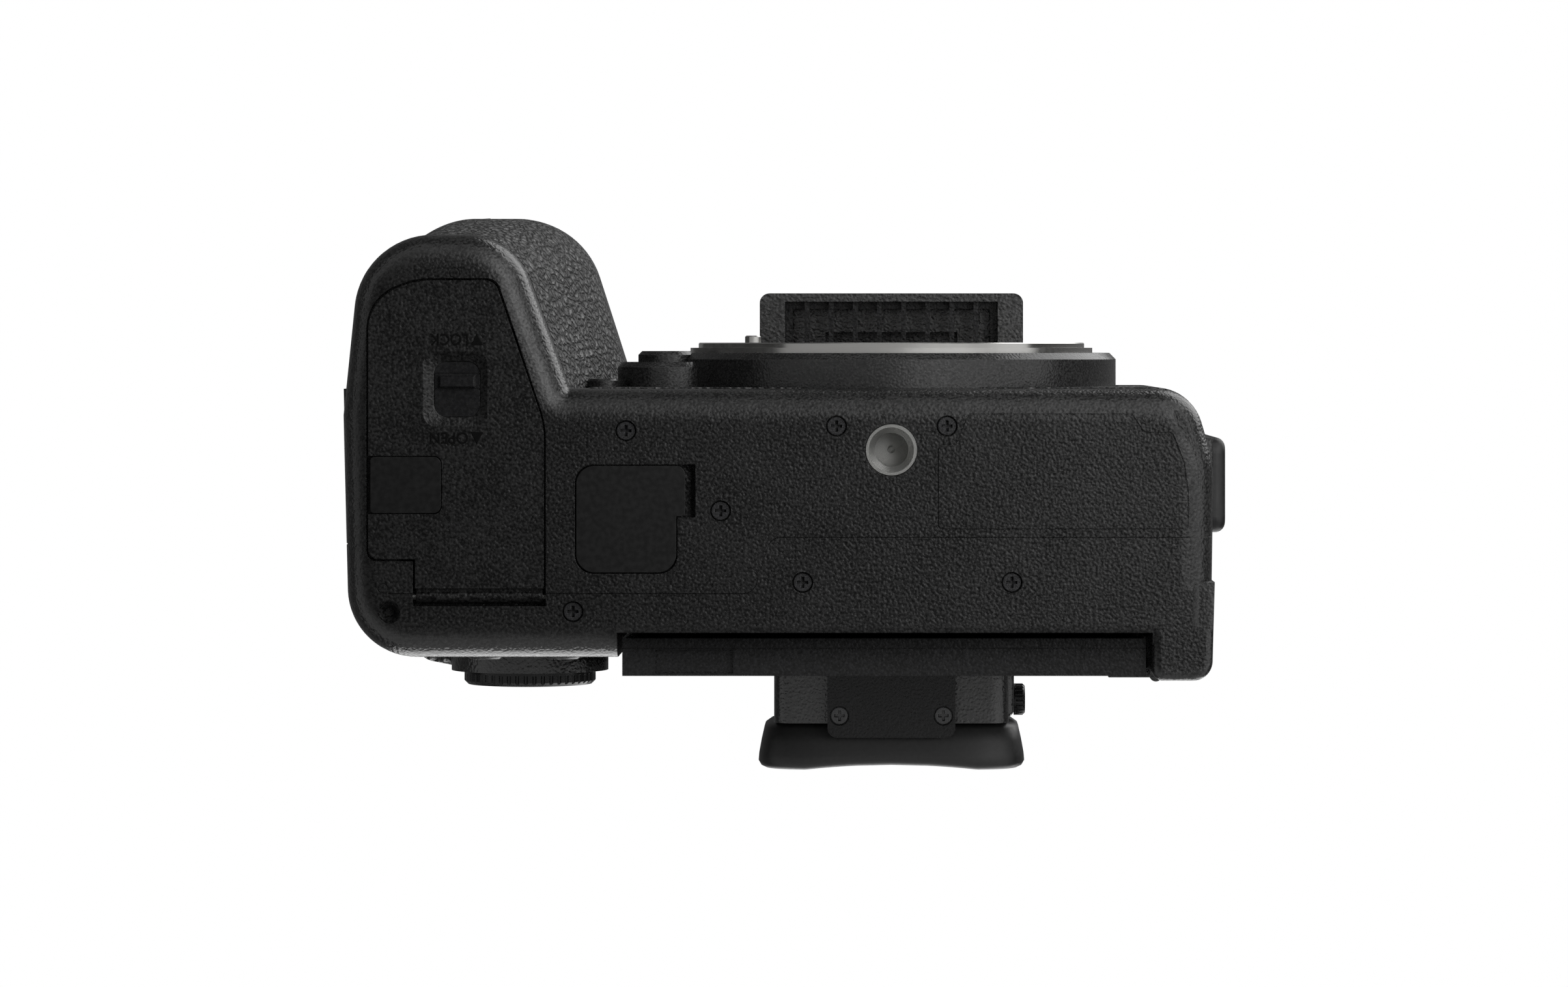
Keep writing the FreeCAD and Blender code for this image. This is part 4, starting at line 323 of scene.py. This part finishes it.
# Each grainy skin: name, dark and light tone, grain and depth in millimetres, roughness, then what differs.
finish = {
    # Cast magnesium alloy under a fine crinkle paint: dull, with 0.4 mm grain and soft lights on its edges,
    # partly from the rounded shading and partly a painted highlight.
    "paintedAlloy": makeGrainSkin(
        "castAlloyCrinklePaint", "#030303", "#1b1b1b", 0.42, 0.07, 0.27, spread=0.04, edge=0.06
    ),
    # The same paint, thinner and smoother, on the turned collar round the mount.
    "collarPaint": makeGrainSkin(
        "castAlloyFinePaint", "#050505", "#1a1a1a", 0.34, 0.035, 0.25, spread=0.04, edge=0.1
    ),
    # ABS, moulded in a spark-eroded tool: finer and flatter than the paint and a darker black, partly the
    # plastic's own tone and partly painted shade for the bracket under the finder.
    "mouldedAbs": makeGrainSkin(
        "absSparkTexture",
        "#020202",
        "#0d0d0e",
        0.38,
        0.05,
        0.28,
        {"Specular IOR Level": 0.4},
        spread=0.04,
        edge=0.07,
    ),
    # ABS with a plain satin skin: buttons, lever, inner trim.
    "satinAbs": makeGrainSkin("absSatin", "#0b0b0c", "#121213", 0.5, 0.004, 0.26, spread=0.03),
    # Thermoplastic rubber, smooth moulded: even dull black with no grain to see.
    "smoothRubber": makeGrainSkin(
        "tpeRubberSmooth", "#0d0d0d", "#111111", 0.8, 0.002, 0.42, {"Specular IOR Level": 0.4}, spread=0.03
    ),
    # Silicone rubber of the eyecup: greyer, soft bloom.
    "cupRubber": makeGrainSkin(
        "siliconeRubberMatte",
        "#121212",
        "#181818",
        0.6,
        0.003,
        0.44,
        {"Specular IOR Level": 0.5},
        spread=0.03,
    ),
    "gripLeather": makeLeather("polyurethaneLeatherPebbled", leatherLook),
    # Stainless steel bayonet, turned and satin plated: bright, with fine rings round the lens axis.
    "bayonetSteel": makeTurnedMetal("stainlessSteelTurned", "#e2e1de", 0.2, (0.0, 0.0, 43.0), "Y", 0.12),
    # Stainless steel tripod insert, turned: grey rings round its own axis.
    "socketSteel": makeTurnedMetal("stainlessSteelInsert", "#b2b2b0", 0.3, (0.0, 0.0, 0.0), "Z", 0.12),
    # Steel screws, black zinc: dark with a soft metal shine.
    "blackSteel": makeGrainSkin(
        "blackZincSteel", "#262627", "#303031", 0.2, 0.004, 0.26, {"Metallic": 0.2}, edge=0.16
    ),
    # Black anodised aluminium of the dials: very dark, with a grain too fine to see.
    "anodised": makeGrainSkin(
        "aluminiumAnodisedBlack",
        "#040404",
        "#0a0a0b",
        0.16,
        0.006,
        0.27,
        {"Metallic": 0.05, "Specular IOR Level": 0.45},
    ),
    # Die-cast alloy inside the body, bare and grey black.
    "castAlloy": makeGrainSkin("dieCastAlloyBare", "#1a1a1a", "#333333", 0.5, 0.03, 0.55, {"Metallic": 0.4}),
    # Lacquered shutter blades and frame: even matte black.
    "shutterLacquer": makeGrainSkin("lacqueredSteelMatte", "#101010", "#191919", 0.2, 0.004, 0.5),
    # Circuit board: green solder mask over woven glass, with a clear skin.
    "solderMask": makeGrainSkin(
        "glassEpoxySolderMask", "#0d3a22", "#15502f", 0.9, 0.02, 0.38, {"Coat Weight": 0.3}
    ),
    # Battery case in grey polycarbonate: plain and slightly dull.
    "batteryCase": makeGrainSkin("polycarbonateGrey", "#2a2a2c", "#343436", 0.3, 0.01, 0.48),
    # Glass over the screen: black print behind a clear, very smooth pane.
    "coverGlass": makeGrainSkin(
        "sodaLimeGlassBlackPrint",
        "#050506",
        "#08080a",
        4.0,
        0.0005,
        0.07,
        {"Coat Weight": 1.0, "Coat Roughness": 0.02},
        spread=0.015,
    ),
    # Sensor stack: coated filter glass with a green violet cast.
    "sensorGlass": makeGrainSkin(
        "filterGlassCoated",
        "#0f2a2c",
        "#2a1f3a",
        14.0,
        0.0005,
        0.06,
        {"Coat Weight": 1.0, "Coat Roughness": 0.02},
        spread=0.01,
    ),
    # Gold plate on the contacts: warm, smooth and bright.
    "goldPlate": makeGrainSkin(
        "goldPlatedBronze",
        "#c79a4c",
        "#d9b068",
        0.3,
        0.002,
        0.25,
        {"Metallic": 1.0, "Specular IOR Level": 0.5},
        spread=0.05,
    ),
    # Ink filled into engraved marks: flat, one black and one off-white.
    "blackInk": makeGrainSkin(
        "enamelInkBlack", "#020202", "#050505", 0.4, 0.002, 0.7, {"Specular IOR Level": 0.1}, spread=0.03
    ),
    "whiteInk": makeGrainSkin("enamelInkWhite", "#c9c9c6", "#dcdcd9", 0.4, 0.002, 0.5, spread=0.03),
}
print("materials made:", len(finish))

# Which finish each carried-over node has.
dress = {
    "paintedAlloy": "front_shell rear_shell top_cover battery_door card_door screen_arm",
    "collarPaint": "mount_surround release_button front_button",
    # The bracket under the finder takes the darker ABS partly as painted shade.
    "mouldedAbs": "screen_housing intake_grille finder_tube finder_bracket",
    "satinAbs": "play_button delete_button set_button record_button power_lever door_lock"
    " battery_tube card_slot port_sockets grip_connector fan_housing fan_rotor shutter_button",
    "smoothRubber": "cable_flap connector_cover lower_port_flap upper_port_flap joystick",
    "cupRubber": "eyecup",
    "gripLeather": "grip_cover front_leather thumb_rest",
    "bayonetSteel": "mount_ring lock_pin",
    "socketSteel": "tripod_socket hot_shoe strap_lugs door_pin",
    "blackSteel": "case_screws mount_screws",
    "anodised": "mode_dial rear_dial drive_dial control_wheel front_dial diopter_dial",
    "castAlloy": "chassis sensor_carriage sensor_base",
    "shutterLacquer": "shutter_frame shutter_blade_lead shutter_blade_rear",
    "solderMask": "main_board",
    "batteryCase": "battery",
    "coverGlass": "screen_glass eyepiece_glass",
    "sensorGlass": "image_sensor",
}
for key, names in dress.items():
    for name in names.split():
        if name in nodes:
            nodes[name].data.materials.clear()
            nodes[name].data.materials.append(finish[key])
dressed = list(finish.values())
bare = [name for name, node in nodes.items() if not any(m in dressed for m in node.data.materials[:1])]
print("nodes with no finish:", bare)


# Meshes of the pieces below are written in millimetres and scaled here.
def addPiece(name, mesh, key, body, stands=(), sharp=35.0):
    mesh.name = name
    mesh.materials.clear()
    mesh.materials.append(finish[key])
    mesh.transform(Matrix.Scale(mm, 4))
    tidy = bmesh.new()
    tidy.from_mesh(mesh)
    bmesh.ops.remove_doubles(tidy, verts=tidy.verts, dist=1e-6)
    bmesh.ops.recalc_face_normals(tidy, faces=tidy.faces)
    tidy.to_mesh(mesh)
    tidy.free()
    mesh.polygons.foreach_set("use_smooth", [True] * len(mesh.polygons))
    mesh.set_sharp_from_angle(angle=math.radians(sharp))
    piece = bpy.data.objects.new(name, mesh)
    scene.collection.objects.link(piece)
    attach(piece, body)
    if stands:
        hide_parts(*stands)
    return piece


# Rings of points joined into one skin. A ring of one point is a pole, and a closed skin joins its last ring
# to its first.
def joinRings(rings, closed=False):
    mesh = bpy.data.meshes.new("rings")
    points = [point for ring in rings for point in ring]
    starts = [sum(len(ring) for ring in rings[:k]) for k in range(len(rings))]
    faces = []
    pairs = list(zip(range(len(rings)), range(1, len(rings)))) + ([(len(rings) - 1, 0)] if closed else [])
    for low, high in pairs:
        steps = max(len(rings[low]), len(rings[high]))
        for k in range(steps):
            corners = [starts[low] + k % len(rings[low]), starts[low] + (k + 1) % len(rings[low])]
            corners += [starts[high] + (k + 1) % len(rings[high]), starts[high] + k % len(rings[high])]
            faces.append([c for n, c in enumerate(corners) if c not in corners[:n]])
    mesh.from_pydata(points, [], faces)
    return mesh


def merge(meshes):
    whole = bmesh.new()
    for mesh in meshes:
        whole.from_mesh(mesh)
    result = bpy.data.meshes.new("merged")
    whole.to_mesh(result)
    whole.free()
    return result


# Geometry Nodes: a tree with named inputs, and a bake of it on a set of points into one mesh.
def startTree(name, inputs):
    tree = bpy.data.node_groups.new(name, "GeometryNodeTree")
    tree.interface.new_socket("Geometry", in_out="INPUT", socket_type="NodeSocketGeometry")
    for label in inputs:
        tree.interface.new_socket(label, in_out="INPUT", socket_type="NodeSocketFloat")
    tree.interface.new_socket("Material", in_out="INPUT", socket_type="NodeSocketMaterial")
    tree.interface.new_socket("Geometry", in_out="OUTPUT", socket_type="NodeSocketGeometry")
    return tree, tree.nodes.new("NodeGroupInput").outputs, tree.nodes.new("NodeGroupOutput")


def bakeNodes(points, tree, values):
    mesh = bpy.data.meshes.new("points")
    mesh.from_pydata(points, [], [])
    holder = bpy.data.objects.new("points", mesh)
    scene.collection.objects.link(holder)
    modifier = holder.modifiers.new("build", "NODES")
    modifier.node_group = tree
    for socket in tree.interface.items_tree:
        if socket.in_out == "INPUT" and socket.name in values:
            modifier[socket.identifier] = values[socket.name]
    bpy.context.view_layer.update()
    baked = bpy.data.meshes.new_from_object(holder.evaluated_get(bpy.context.evaluated_depsgraph_get()))
    bpy.data.objects.remove(holder)
    return baked


def placeCopies(tree, source, solid, out):
    spots = {"Points": source["Geometry"], "Instance": solid}
    copies = addNode(tree, "GeometryNodeInstanceOnPoints", links=spots)
    real = addNode(tree, "GeometryNodeRealizeInstances", links={"Geometry": copies.outputs["Instances"]})
    skin = {"Geometry": real.outputs[0], "Material": source["Material"]}
    made = addNode(tree, "GeometryNodeSetMaterial", links=skin)
    tree.links.new(made.outputs[0], out.inputs[0])


def times(tree, value, factor):
    return addNode(tree, "ShaderNodeMath", {"operation": "MULTIPLY", 1: factor}, {0: value}).outputs[0]


def along(tree, x=None, y=None, z=None):
    given = {key: value for key, value in {"X": x, "Y": y, "Z": z}.items() if value is not None}
    return addNode(tree, "ShaderNodeCombineXYZ", links=given).outputs[0]


# Cross-head screw: its outer face is at the point and its shank runs along +Z, in millimetres.
screwSizes = {
    "Head": 1.35,
    "Depth": 0.9,
    "Shank": 0.8,
    "Length": 4.4,
    "Reach": 0.84,
    "Width": 0.46,
    "Cut": 0.75,
}
shankStart = 0.6  # above the outer face, inside the head
screwTree, source, out = startTree("crossHeadScrew", screwSizes)
disc = addNode(
    screwTree,
    "GeometryNodeMeshCylinder",
    {"Vertices": 48},
    {"Radius": source["Head"], "Depth": source["Depth"]},
)
halfDepth = times(screwTree, source["Depth"], 0.5)
head = addNode(
    screwTree,
    "GeometryNodeTransform",
    links={"Geometry": disc.outputs[0], "Translation": along(screwTree, z=halfDepth)},
)
cross = addNode(
    screwTree, "GeometryNodeMeshBoolean", {"operation": "DIFFERENCE"}, {"Mesh 1": head.outputs[0]}
)
armLong, armDeep = times(screwTree, source["Reach"], 2), times(screwTree, source["Cut"], 2)
for sides in ((armLong, source["Width"]), (source["Width"], armLong)):
    arm = addNode(screwTree, "GeometryNodeMeshCube", links={"Size": along(screwTree, *sides, armDeep)})
    screwTree.links.new(arm.outputs[0], cross.inputs["Mesh 2"])
shaft = addNode(
    screwTree,
    "GeometryNodeMeshCylinder",
    {"Vertices": 24},
    {"Radius": source["Shank"], "Depth": source["Length"]},
)
middle = addNode(
    screwTree, "ShaderNodeMath", {"operation": "MULTIPLY_ADD", 1: 0.5, 2: shankStart}, {0: source["Length"]}
)
shank = addNode(
    screwTree,
    "GeometryNodeTransform",
    links={"Geometry": shaft.outputs[0], "Translation": along(screwTree, z=middle.outputs[0])},
)
whole = addNode(screwTree, "GeometryNodeJoinGeometry")
for part in (cross, shank):
    screwTree.links.new(part.outputs[0], whole.inputs[0])
placeCopies(screwTree, source, whole.outputs[0], out)

# Seven screws in the base and two, a little shorter, in the bracket under the finder.
caseScrews = {
    "base": [
        (-40.1, -2.9),
        (-8.3, -3.6),
        (8.4, -3.6),
        (-25.8, 9.2),
        (-13.4, 20.0),
        (18.2, 20.0),
        (-48.1, 24.4),
    ],
    "sunk": 0.35,
    "bracket": [(-8.45, 44.4, 63.1), (8.45, 44.4, 63.1)],
    "bracketLength": 3.4,
}
values = {**screwSizes, "Material": finish["blackSteel"]}
basePlaces = [(x, y, caseScrews["sunk"]) for x, y in caseScrews["base"]]
baseMesh = bakeNodes(basePlaces, screwTree, values)
bracketMesh = bakeNodes(caseScrews["bracket"], screwTree, {**values, "Length": caseScrews["bracketLength"]})
addPiece(
    "caseScrews", merge([baseMesh, bracketMesh]), "blackSteel", "camera_body", ["case_screws"]
)

# Six screws through the bayonet ring, baked face down and then turned to face the lens side.
mountScrews = {
    "count": 6,
    "first": 30,
    "circle": 28.7,
    "face": -16.1,
    "axis": 43.0,
    "head": 1.3,
    "shank": 0.7,
}
faceLens = Matrix.Rotation(math.radians(-90), 4, "X")
ringPlaces = []
for k in range(mountScrews["count"]):
    turn = math.radians(mountScrews["first"] + 360 / mountScrews["count"] * k)
    across, down = mountScrews["circle"] * math.cos(turn), mountScrews["circle"] * math.sin(turn)
    ringPlaces.append((across, -mountScrews["axis"] - down, mountScrews["face"]))
values |= {"Head": mountScrews["head"], "Shank": mountScrews["shank"]}
ringMesh = bakeNodes(ringPlaces, screwTree, values)
ringMesh.transform(faceLens)
addPiece("mountScrews", ringMesh, "blackSteel", "camera_body", ["mount_screws"])

# Gold contacts on the floor of the accessory shoe: one large disc and four small ones.
discTree, source, out = startTree("flatDisc", ["Radius", "Thick"])
button = addNode(
    discTree,
    "GeometryNodeMeshCylinder",
    {"Vertices": 32},
    {"Radius": source["Radius"], "Depth": source["Thick"]},
)
placeCopies(discTree, source, button.outputs[0], out)
shoeContacts = {
    "floor": 98.62,
    "thick": 0.12,
    "large": (1.3, [(0.0, 13.0)]),
    "small": (0.6, [(-3.4, 9.2), (3.4, 9.2), (-3.4, 16.4), (0.0, 18.4)]),
}
discs = []
for kind in ("large", "small"):
    radius, spots = shoeContacts[kind]
    places = [(*spot, shoeContacts["floor"]) for spot in spots]
    values = {"Radius": radius, "Thick": shoeContacts["thick"], "Material": finish["goldPlate"]}
    discs.append(bakeNodes(places, discTree, values))
addPiece("shoeContacts", merge(discs), "goldPlate", "camera_body")

# White dot on the mount surround, where a lens is lined up. Its place is given face down, as for the ring's
# screws.
mountIndex = {"place": (16.8, -72.1, -14.62), "radius": 0.95, "thick": 0.06}
values = {"Radius": mountIndex["radius"], "Thick": mountIndex["thick"], "Material": finish["whiteInk"]}
dotMesh = bakeNodes([mountIndex["place"]], discTree, values)
dotMesh.transform(faceLens)
addPiece("mountIndex", dotMesh, "whiteInk", "camera_body")
print("screws, contacts and dot baked")

# Tripod insert: a turned collar with a bevelled mouth, a 1/4 inch thread and a dimpled end.
insert = {
    "rim": 3.95,
    "ring": 3.42,
    "face": 0.02,
    "edge": 0.1,
    "bevelEnd": 0.87,
    "minor": 2.56,
    "threadDeep": 0.38,
    "pitch": 1.27,
    "flank": 2.3,  # how fast the thread falls from its crest; the rest of each turn is the bore
    "fade": 0.3,  # the thread runs out over this height at both ends
    "end": 5.4,
    "flange": 6.0,
    "flangeLow": 3.0,
    "flangeHigh": 6.7,
    "dimple": 0.6,
    "dimpleDeep": 0.4,
    "steps": 96,
    "turnRows": 46,
}


def circleAt(radius, height):
    if radius == 0:
        return [(0.0, 0.0, height)]
    angles = [2 * math.pi * k / insert["steps"] for k in range(insert["steps"])]
    return [(radius * math.cos(a), radius * math.sin(a), height) for a in angles]


def threadRow(height):
    row = []
    for k in range(insert["steps"]):
        phase = (height / insert["pitch"] + k / insert["steps"]) % 1.0
        toEnds = min(height - insert["bevelEnd"], insert["end"] - height)
        fade = min(1.0, toEnds / insert["fade"])
        crest = max(0.0, 1 - abs(phase - 0.5) * insert["flank"])
        radius = insert["minor"] + insert["threadDeep"] * fade * crest
        angle = 2 * math.pi * k / insert["steps"]
        row.append((radius * math.cos(angle), radius * math.sin(angle), height))
    return row


rings = [circleAt(0, insert["flangeHigh"]), circleAt(insert["flange"], insert["flangeHigh"])]
rings += [circleAt(insert["flange"], insert["flangeLow"]), circleAt(insert["rim"], insert["flangeLow"])]
rings += [circleAt(insert["rim"], insert["face"] + insert["edge"])]
rings += [circleAt(insert["rim"] - insert["edge"], insert["face"]), circleAt(insert["ring"], insert["face"])]
span = insert["end"] - insert["bevelEnd"]
for k in range(insert["turnRows"] + 1):
    rings.append(threadRow(insert["bevelEnd"] + span * k / insert["turnRows"]))
rings += [circleAt(insert["dimple"], insert["end"]), circleAt(0, insert["end"] + insert["dimpleDeep"])]
insertMesh = joinRings(rings)
addPiece(
    "tripodInsert", insertMesh, "socketSteel", "camera_body", ["tripod_socket"], sharp=30.0
)
print("tripod insert turned")

# Eyecup: a soft collar that flares to the rear, with its rear lip drawn in at the middle.
eyecup = {
    "middle": 80.15,
    "steps": 160,
    "square": 5.0,  # 2 is an ellipse and a high value a box
    "sag": 0.8,
    "sagHalf": 14.0,
    "sagFrom": 50.0,
    "sagOver": 3.0,
    "rings": [  # how far back, half the width and half the height, from outside round the lip and in again
        (45.95, 19.1, 12.7),
        (46.15, 20.0, 13.4),
        (46.8, 20.9, 14.0),
        (49.0, 21.4, 14.4),
        (51.2, 21.8, 14.7),
        (52.4, 21.9, 14.75),
        (53.1, 21.5, 14.4),
        (53.45, 20.8, 13.8),
        (53.5, 19.6, 12.8),
        (53.3, 18.3, 11.9),
        (52.6, 17.2, 11.2),
        (51.2, 16.3, 10.7),
        (49.0, 15.5, 10.3),
        (46.2, 15.1, 10.05),
    ],
}


def cupRing(back, halfWide, halfTall):
    ring = []
    power = 2 / eyecup["square"]
    atLip = min(1.0, max(0.0, (back - eyecup["sagFrom"]) / eyecup["sagOver"]))
    for k in range(eyecup["steps"]):
        angle = 2 * math.pi * k / eyecup["steps"]
        c, s = math.cos(angle), math.sin(angle)
        x = halfWide * math.copysign(abs(c) ** power, c)
        z = halfTall * math.copysign(abs(s) ** power, s)
        draw = eyecup["sag"] * max(0.0, 1 - (x / eyecup["sagHalf"]) ** 2) * atLip
        ring.append((x, back - draw, eyecup["middle"] + z))
    return ring


cupMesh = joinRings([cupRing(*row) for row in eyecup["rings"]], closed=True)
addPiece("eyecupSoft", cupMesh, "cupRubber", "camera_body", ["eyecup"], sharp=60.0)
print("eyecup made")


# Marks: generic words and numerals in ink. The letters are a hair bolder than the font's own.
def writeText(words, wide, tall, thick):
    curve = bpy.data.curves.new("letters", "FONT")
    curve.body = words
    curve.extrude = 0.5
    curve.offset = 0.012
    holder = bpy.data.objects.new("letters", curve)
    scene.collection.objects.link(holder)
    bpy.context.view_layer.update()
    letters = bpy.data.meshes.new_from_object(holder.evaluated_get(bpy.context.evaluated_depsgraph_get()))
    bpy.data.objects.remove(holder)
    low = [min(v.co[k] for v in letters.vertices) for k in range(3)]
    high = [max(v.co[k] for v in letters.vertices) for k in range(3)]
    letters.transform(Matrix.Translation([-(a + b) / 2 for a, b in zip(low, high)]))
    sizes = (wide, tall, thick)
    letters.transform(Matrix.Diagonal([sizes[k] / (high[k] - low[k]) for k in range(3)] + [1.0]))
    return letters


def arrow(x, y, way, half, thick):
    mesh = bpy.data.meshes.new("arrow")
    flat = [(x - half, y - way * half), (x + half, y - way * half), (x, y + way * half)]
    points = [(*spot, level) for level in (-thick / 2, thick / 2) for spot in flat]
    mesh.from_pydata(points, [], [(0, 1, 2), (3, 5, 4), (0, 3, 4, 1), (1, 4, 5, 2), (2, 5, 3, 0)])
    return mesh


# Words by the door's sliding lock, read from below: the middle of each and the way of the arrow beside it.
doorMarks = {
    "words": {"LOCK": (-66.8, -16.7, -1), "OPEN": (-66.8, -1.8, 1)},
    "wide": 5.8,
    "tall": 1.75,
    "thick": 0.05,
    "level": 0.085,
    "arrowSide": -62.6,
    "arrowHalf": 0.9,
}
faceDown = Matrix(((-1, 0, 0, 0), (0, 1, 0, 0), (0, 0, -1, 0), (0, 0, 0, 1)))
marks = []
for word, (x, y, way) in doorMarks["words"].items():
    letters = writeText(word, doorMarks["wide"], doorMarks["tall"], doorMarks["thick"])
    letters.transform(Matrix.Translation((x, y, doorMarks["level"])) @ faceDown)
    sign = arrow(doorMarks["arrowSide"], y, way, doorMarks["arrowHalf"], doorMarks["thick"])
    sign.transform(Matrix.Translation((0, 0, doorMarks["level"])))
    marks += [letters, sign]
addPiece("doorMarks", merge(marks), "blackInk", "door")

# Numerals round the top of the mode dial, their feet to its middle. The 1 is narrower than the others.
modeMarks = {
    "count": 6,
    "middle": (-46.5, 12.0),
    "level": 82.5,
    "circle": 6.6,
    "wide": 1.3,
    "wideOne": 0.78,
    "tall": 1.9,
    "thick": 0.05,
}
numerals = []
for k in range(modeMarks["count"]):
    turn = math.radians(360 / modeMarks["count"] * k)
    wide = modeMarks["wideOne"] if k == 0 else modeMarks["wide"]
    numeral = writeText(str(k + 1), wide, modeMarks["tall"], modeMarks["thick"])
    numeral.transform(Matrix.Translation((0, modeMarks["circle"], 0)))
    numeral.transform(Matrix.Rotation(-turn, 4, "Z"))
    numeral.transform(Matrix.Translation((*modeMarks["middle"], modeMarks["level"])))
    numerals.append(numeral)
addPiece("modeNumerals", merge(numerals), "whiteInk", "mode_dial_body")
print("marks written")


# Floor: pale from above, seen through from below, and open to the light that comes from under it. It lies a
# hair under the base, so that the two faces don't meet.
floorLook = {"half": 4.0, "drop": 0.0003, "tone": "#e9e9e9", "roughness": 0.9}


def makeFloor():
    mesh = bpy.data.meshes.new("floor")
    half = floorLook["half"]
    corners = [(-half, -half, 0), (half, -half, 0), (half, half, 0), (-half, half, 0)]
    mesh.from_pydata(corners, [], [(0, 1, 2, 3)])
    floor = bpy.data.objects.new("floor", mesh)
    floor.location = (0, 0, -floorLook["drop"])
    scene.collection.objects.link(floor)
    sockets = {"Base Color": colour(floorLook["tone"]), "Roughness": floorLook["roughness"]}
    material, tree, shader, _ = startMaterial("paleFloor", sockets)
    facing = addNode(tree, "ShaderNodeNewGeometry").outputs["Backfacing"]
    shadow = addNode(tree, "ShaderNodeLightPath").outputs["Is Shadow Ray"]
    through = addNode(tree, "ShaderNodeMath", {"operation": "MAXIMUM"}, {0: facing, 1: shadow})
    clear = addNode(tree, "ShaderNodeBsdfTransparent")
    mix = addNode(
        tree,
        "ShaderNodeMixShader",
        links={0: through.outputs[0], 1: shader.outputs[0], 2: clear.outputs[0]},
    )
    tree.links.new(mix.outputs[0], tree.nodes["Material Output"].inputs["Surface"])
    mesh.materials.append(material)


# White behind the object. What the object mirrors is dark from below and a little lighter overhead, so that
# black skins stay black, and an even fill lights what no lamp reaches.
studio = {"fill": 0.25, "dimmest": 0.02, "brightest": 0.12, "dimBelow": -0.2, "brightAbove": 0.9}


def makeWorld():
    world = bpy.data.worlds.new("studio")
    world.use_nodes = True
    scene.world = world
    tree = world.node_tree
    path = addNode(tree, "ShaderNodeLightPath").outputs
    direction = addNode(tree, "ShaderNodeTexCoord").outputs["Generated"]
    level = addNode(tree, "ShaderNodeSeparateXYZ", links={0: direction}).outputs["Z"]
    rise = {"From Min": studio["dimBelow"], "From Max": studio["brightAbove"]}
    strengths = {"To Min": studio["dimmest"], "To Max": studio["brightest"]}
    around = addNode(tree, "ShaderNodeMapRange", {**rise, **strengths}, {"Value": level})
    mirrored = addNode(
        tree,
        "ShaderNodeMath",
        {"operation": "MAXIMUM"},
        {0: path["Is Glossy Ray"], 1: path["Is Transmission Ray"]},
    )
    fill = addNode(
        tree,
        "ShaderNodeMix",
        {"A": studio["fill"]},
        {"Factor": mirrored.outputs[0], "B": around.outputs["Result"]},
    )
    seen = addNode(tree, "ShaderNodeMix", {"B": 1.0}, {"Factor": path["Is Camera Ray"], "A": fill.outputs[0]})
    tree.nodes["Background"].inputs["Color"].default_value = (1, 1, 1, 1)
    tree.links.new(seen.outputs[0], tree.nodes["Background"].inputs["Strength"])


# Soft boxes: name, middle, the way the light goes, width, length along Y and power. Two light the underside:
# the main one reaches from behind the camera to the port side, as the photo's highlights show, and a weak one
# lights the front edge. Two large ones overhead are for views from above.
softBoxes = [
    ("portSideBelow", (0.202, -0.158, -0.239), (-0.576, 0.45, 0.682), 0.26, 0.42, 2.2),
    ("aheadBelow", (0.14, -0.24, -0.288), (-0.35, 0.6, 0.72), 0.34, 0.22, 0.2),
    ("highAhead", (0.65, -0.65, 0.7), (-0.65, 0.65, -0.65), 1.0, 1.0, 5.0),
    ("highBehind", (0.1, 0.85, 0.65), (-0.1, -0.85, -0.6), 1.0, 1.0, 7.0),
]


def makeSoftBox(name, place, way, width, length, power):
    lamp = bpy.data.lights.new(name, "AREA")
    lamp.shape = "RECTANGLE"
    lamp.size = width
    lamp.size_y = length
    lamp.energy = power
    lampObject = bpy.data.objects.new(name, lamp)
    back = -Vector(way).normalized()
    across = Vector((0, -1, 0)).cross(back).normalized()
    turn = Matrix((across, back.cross(across), back)).transposed()
    lampObject.matrix_world = Matrix.Translation(place) @ turn.to_4x4()
    scene.collection.objects.link(lampObject)


makeFloor()
makeWorld()
for box in softBoxes:
    makeSoftBox(*box)
print("stage ready")
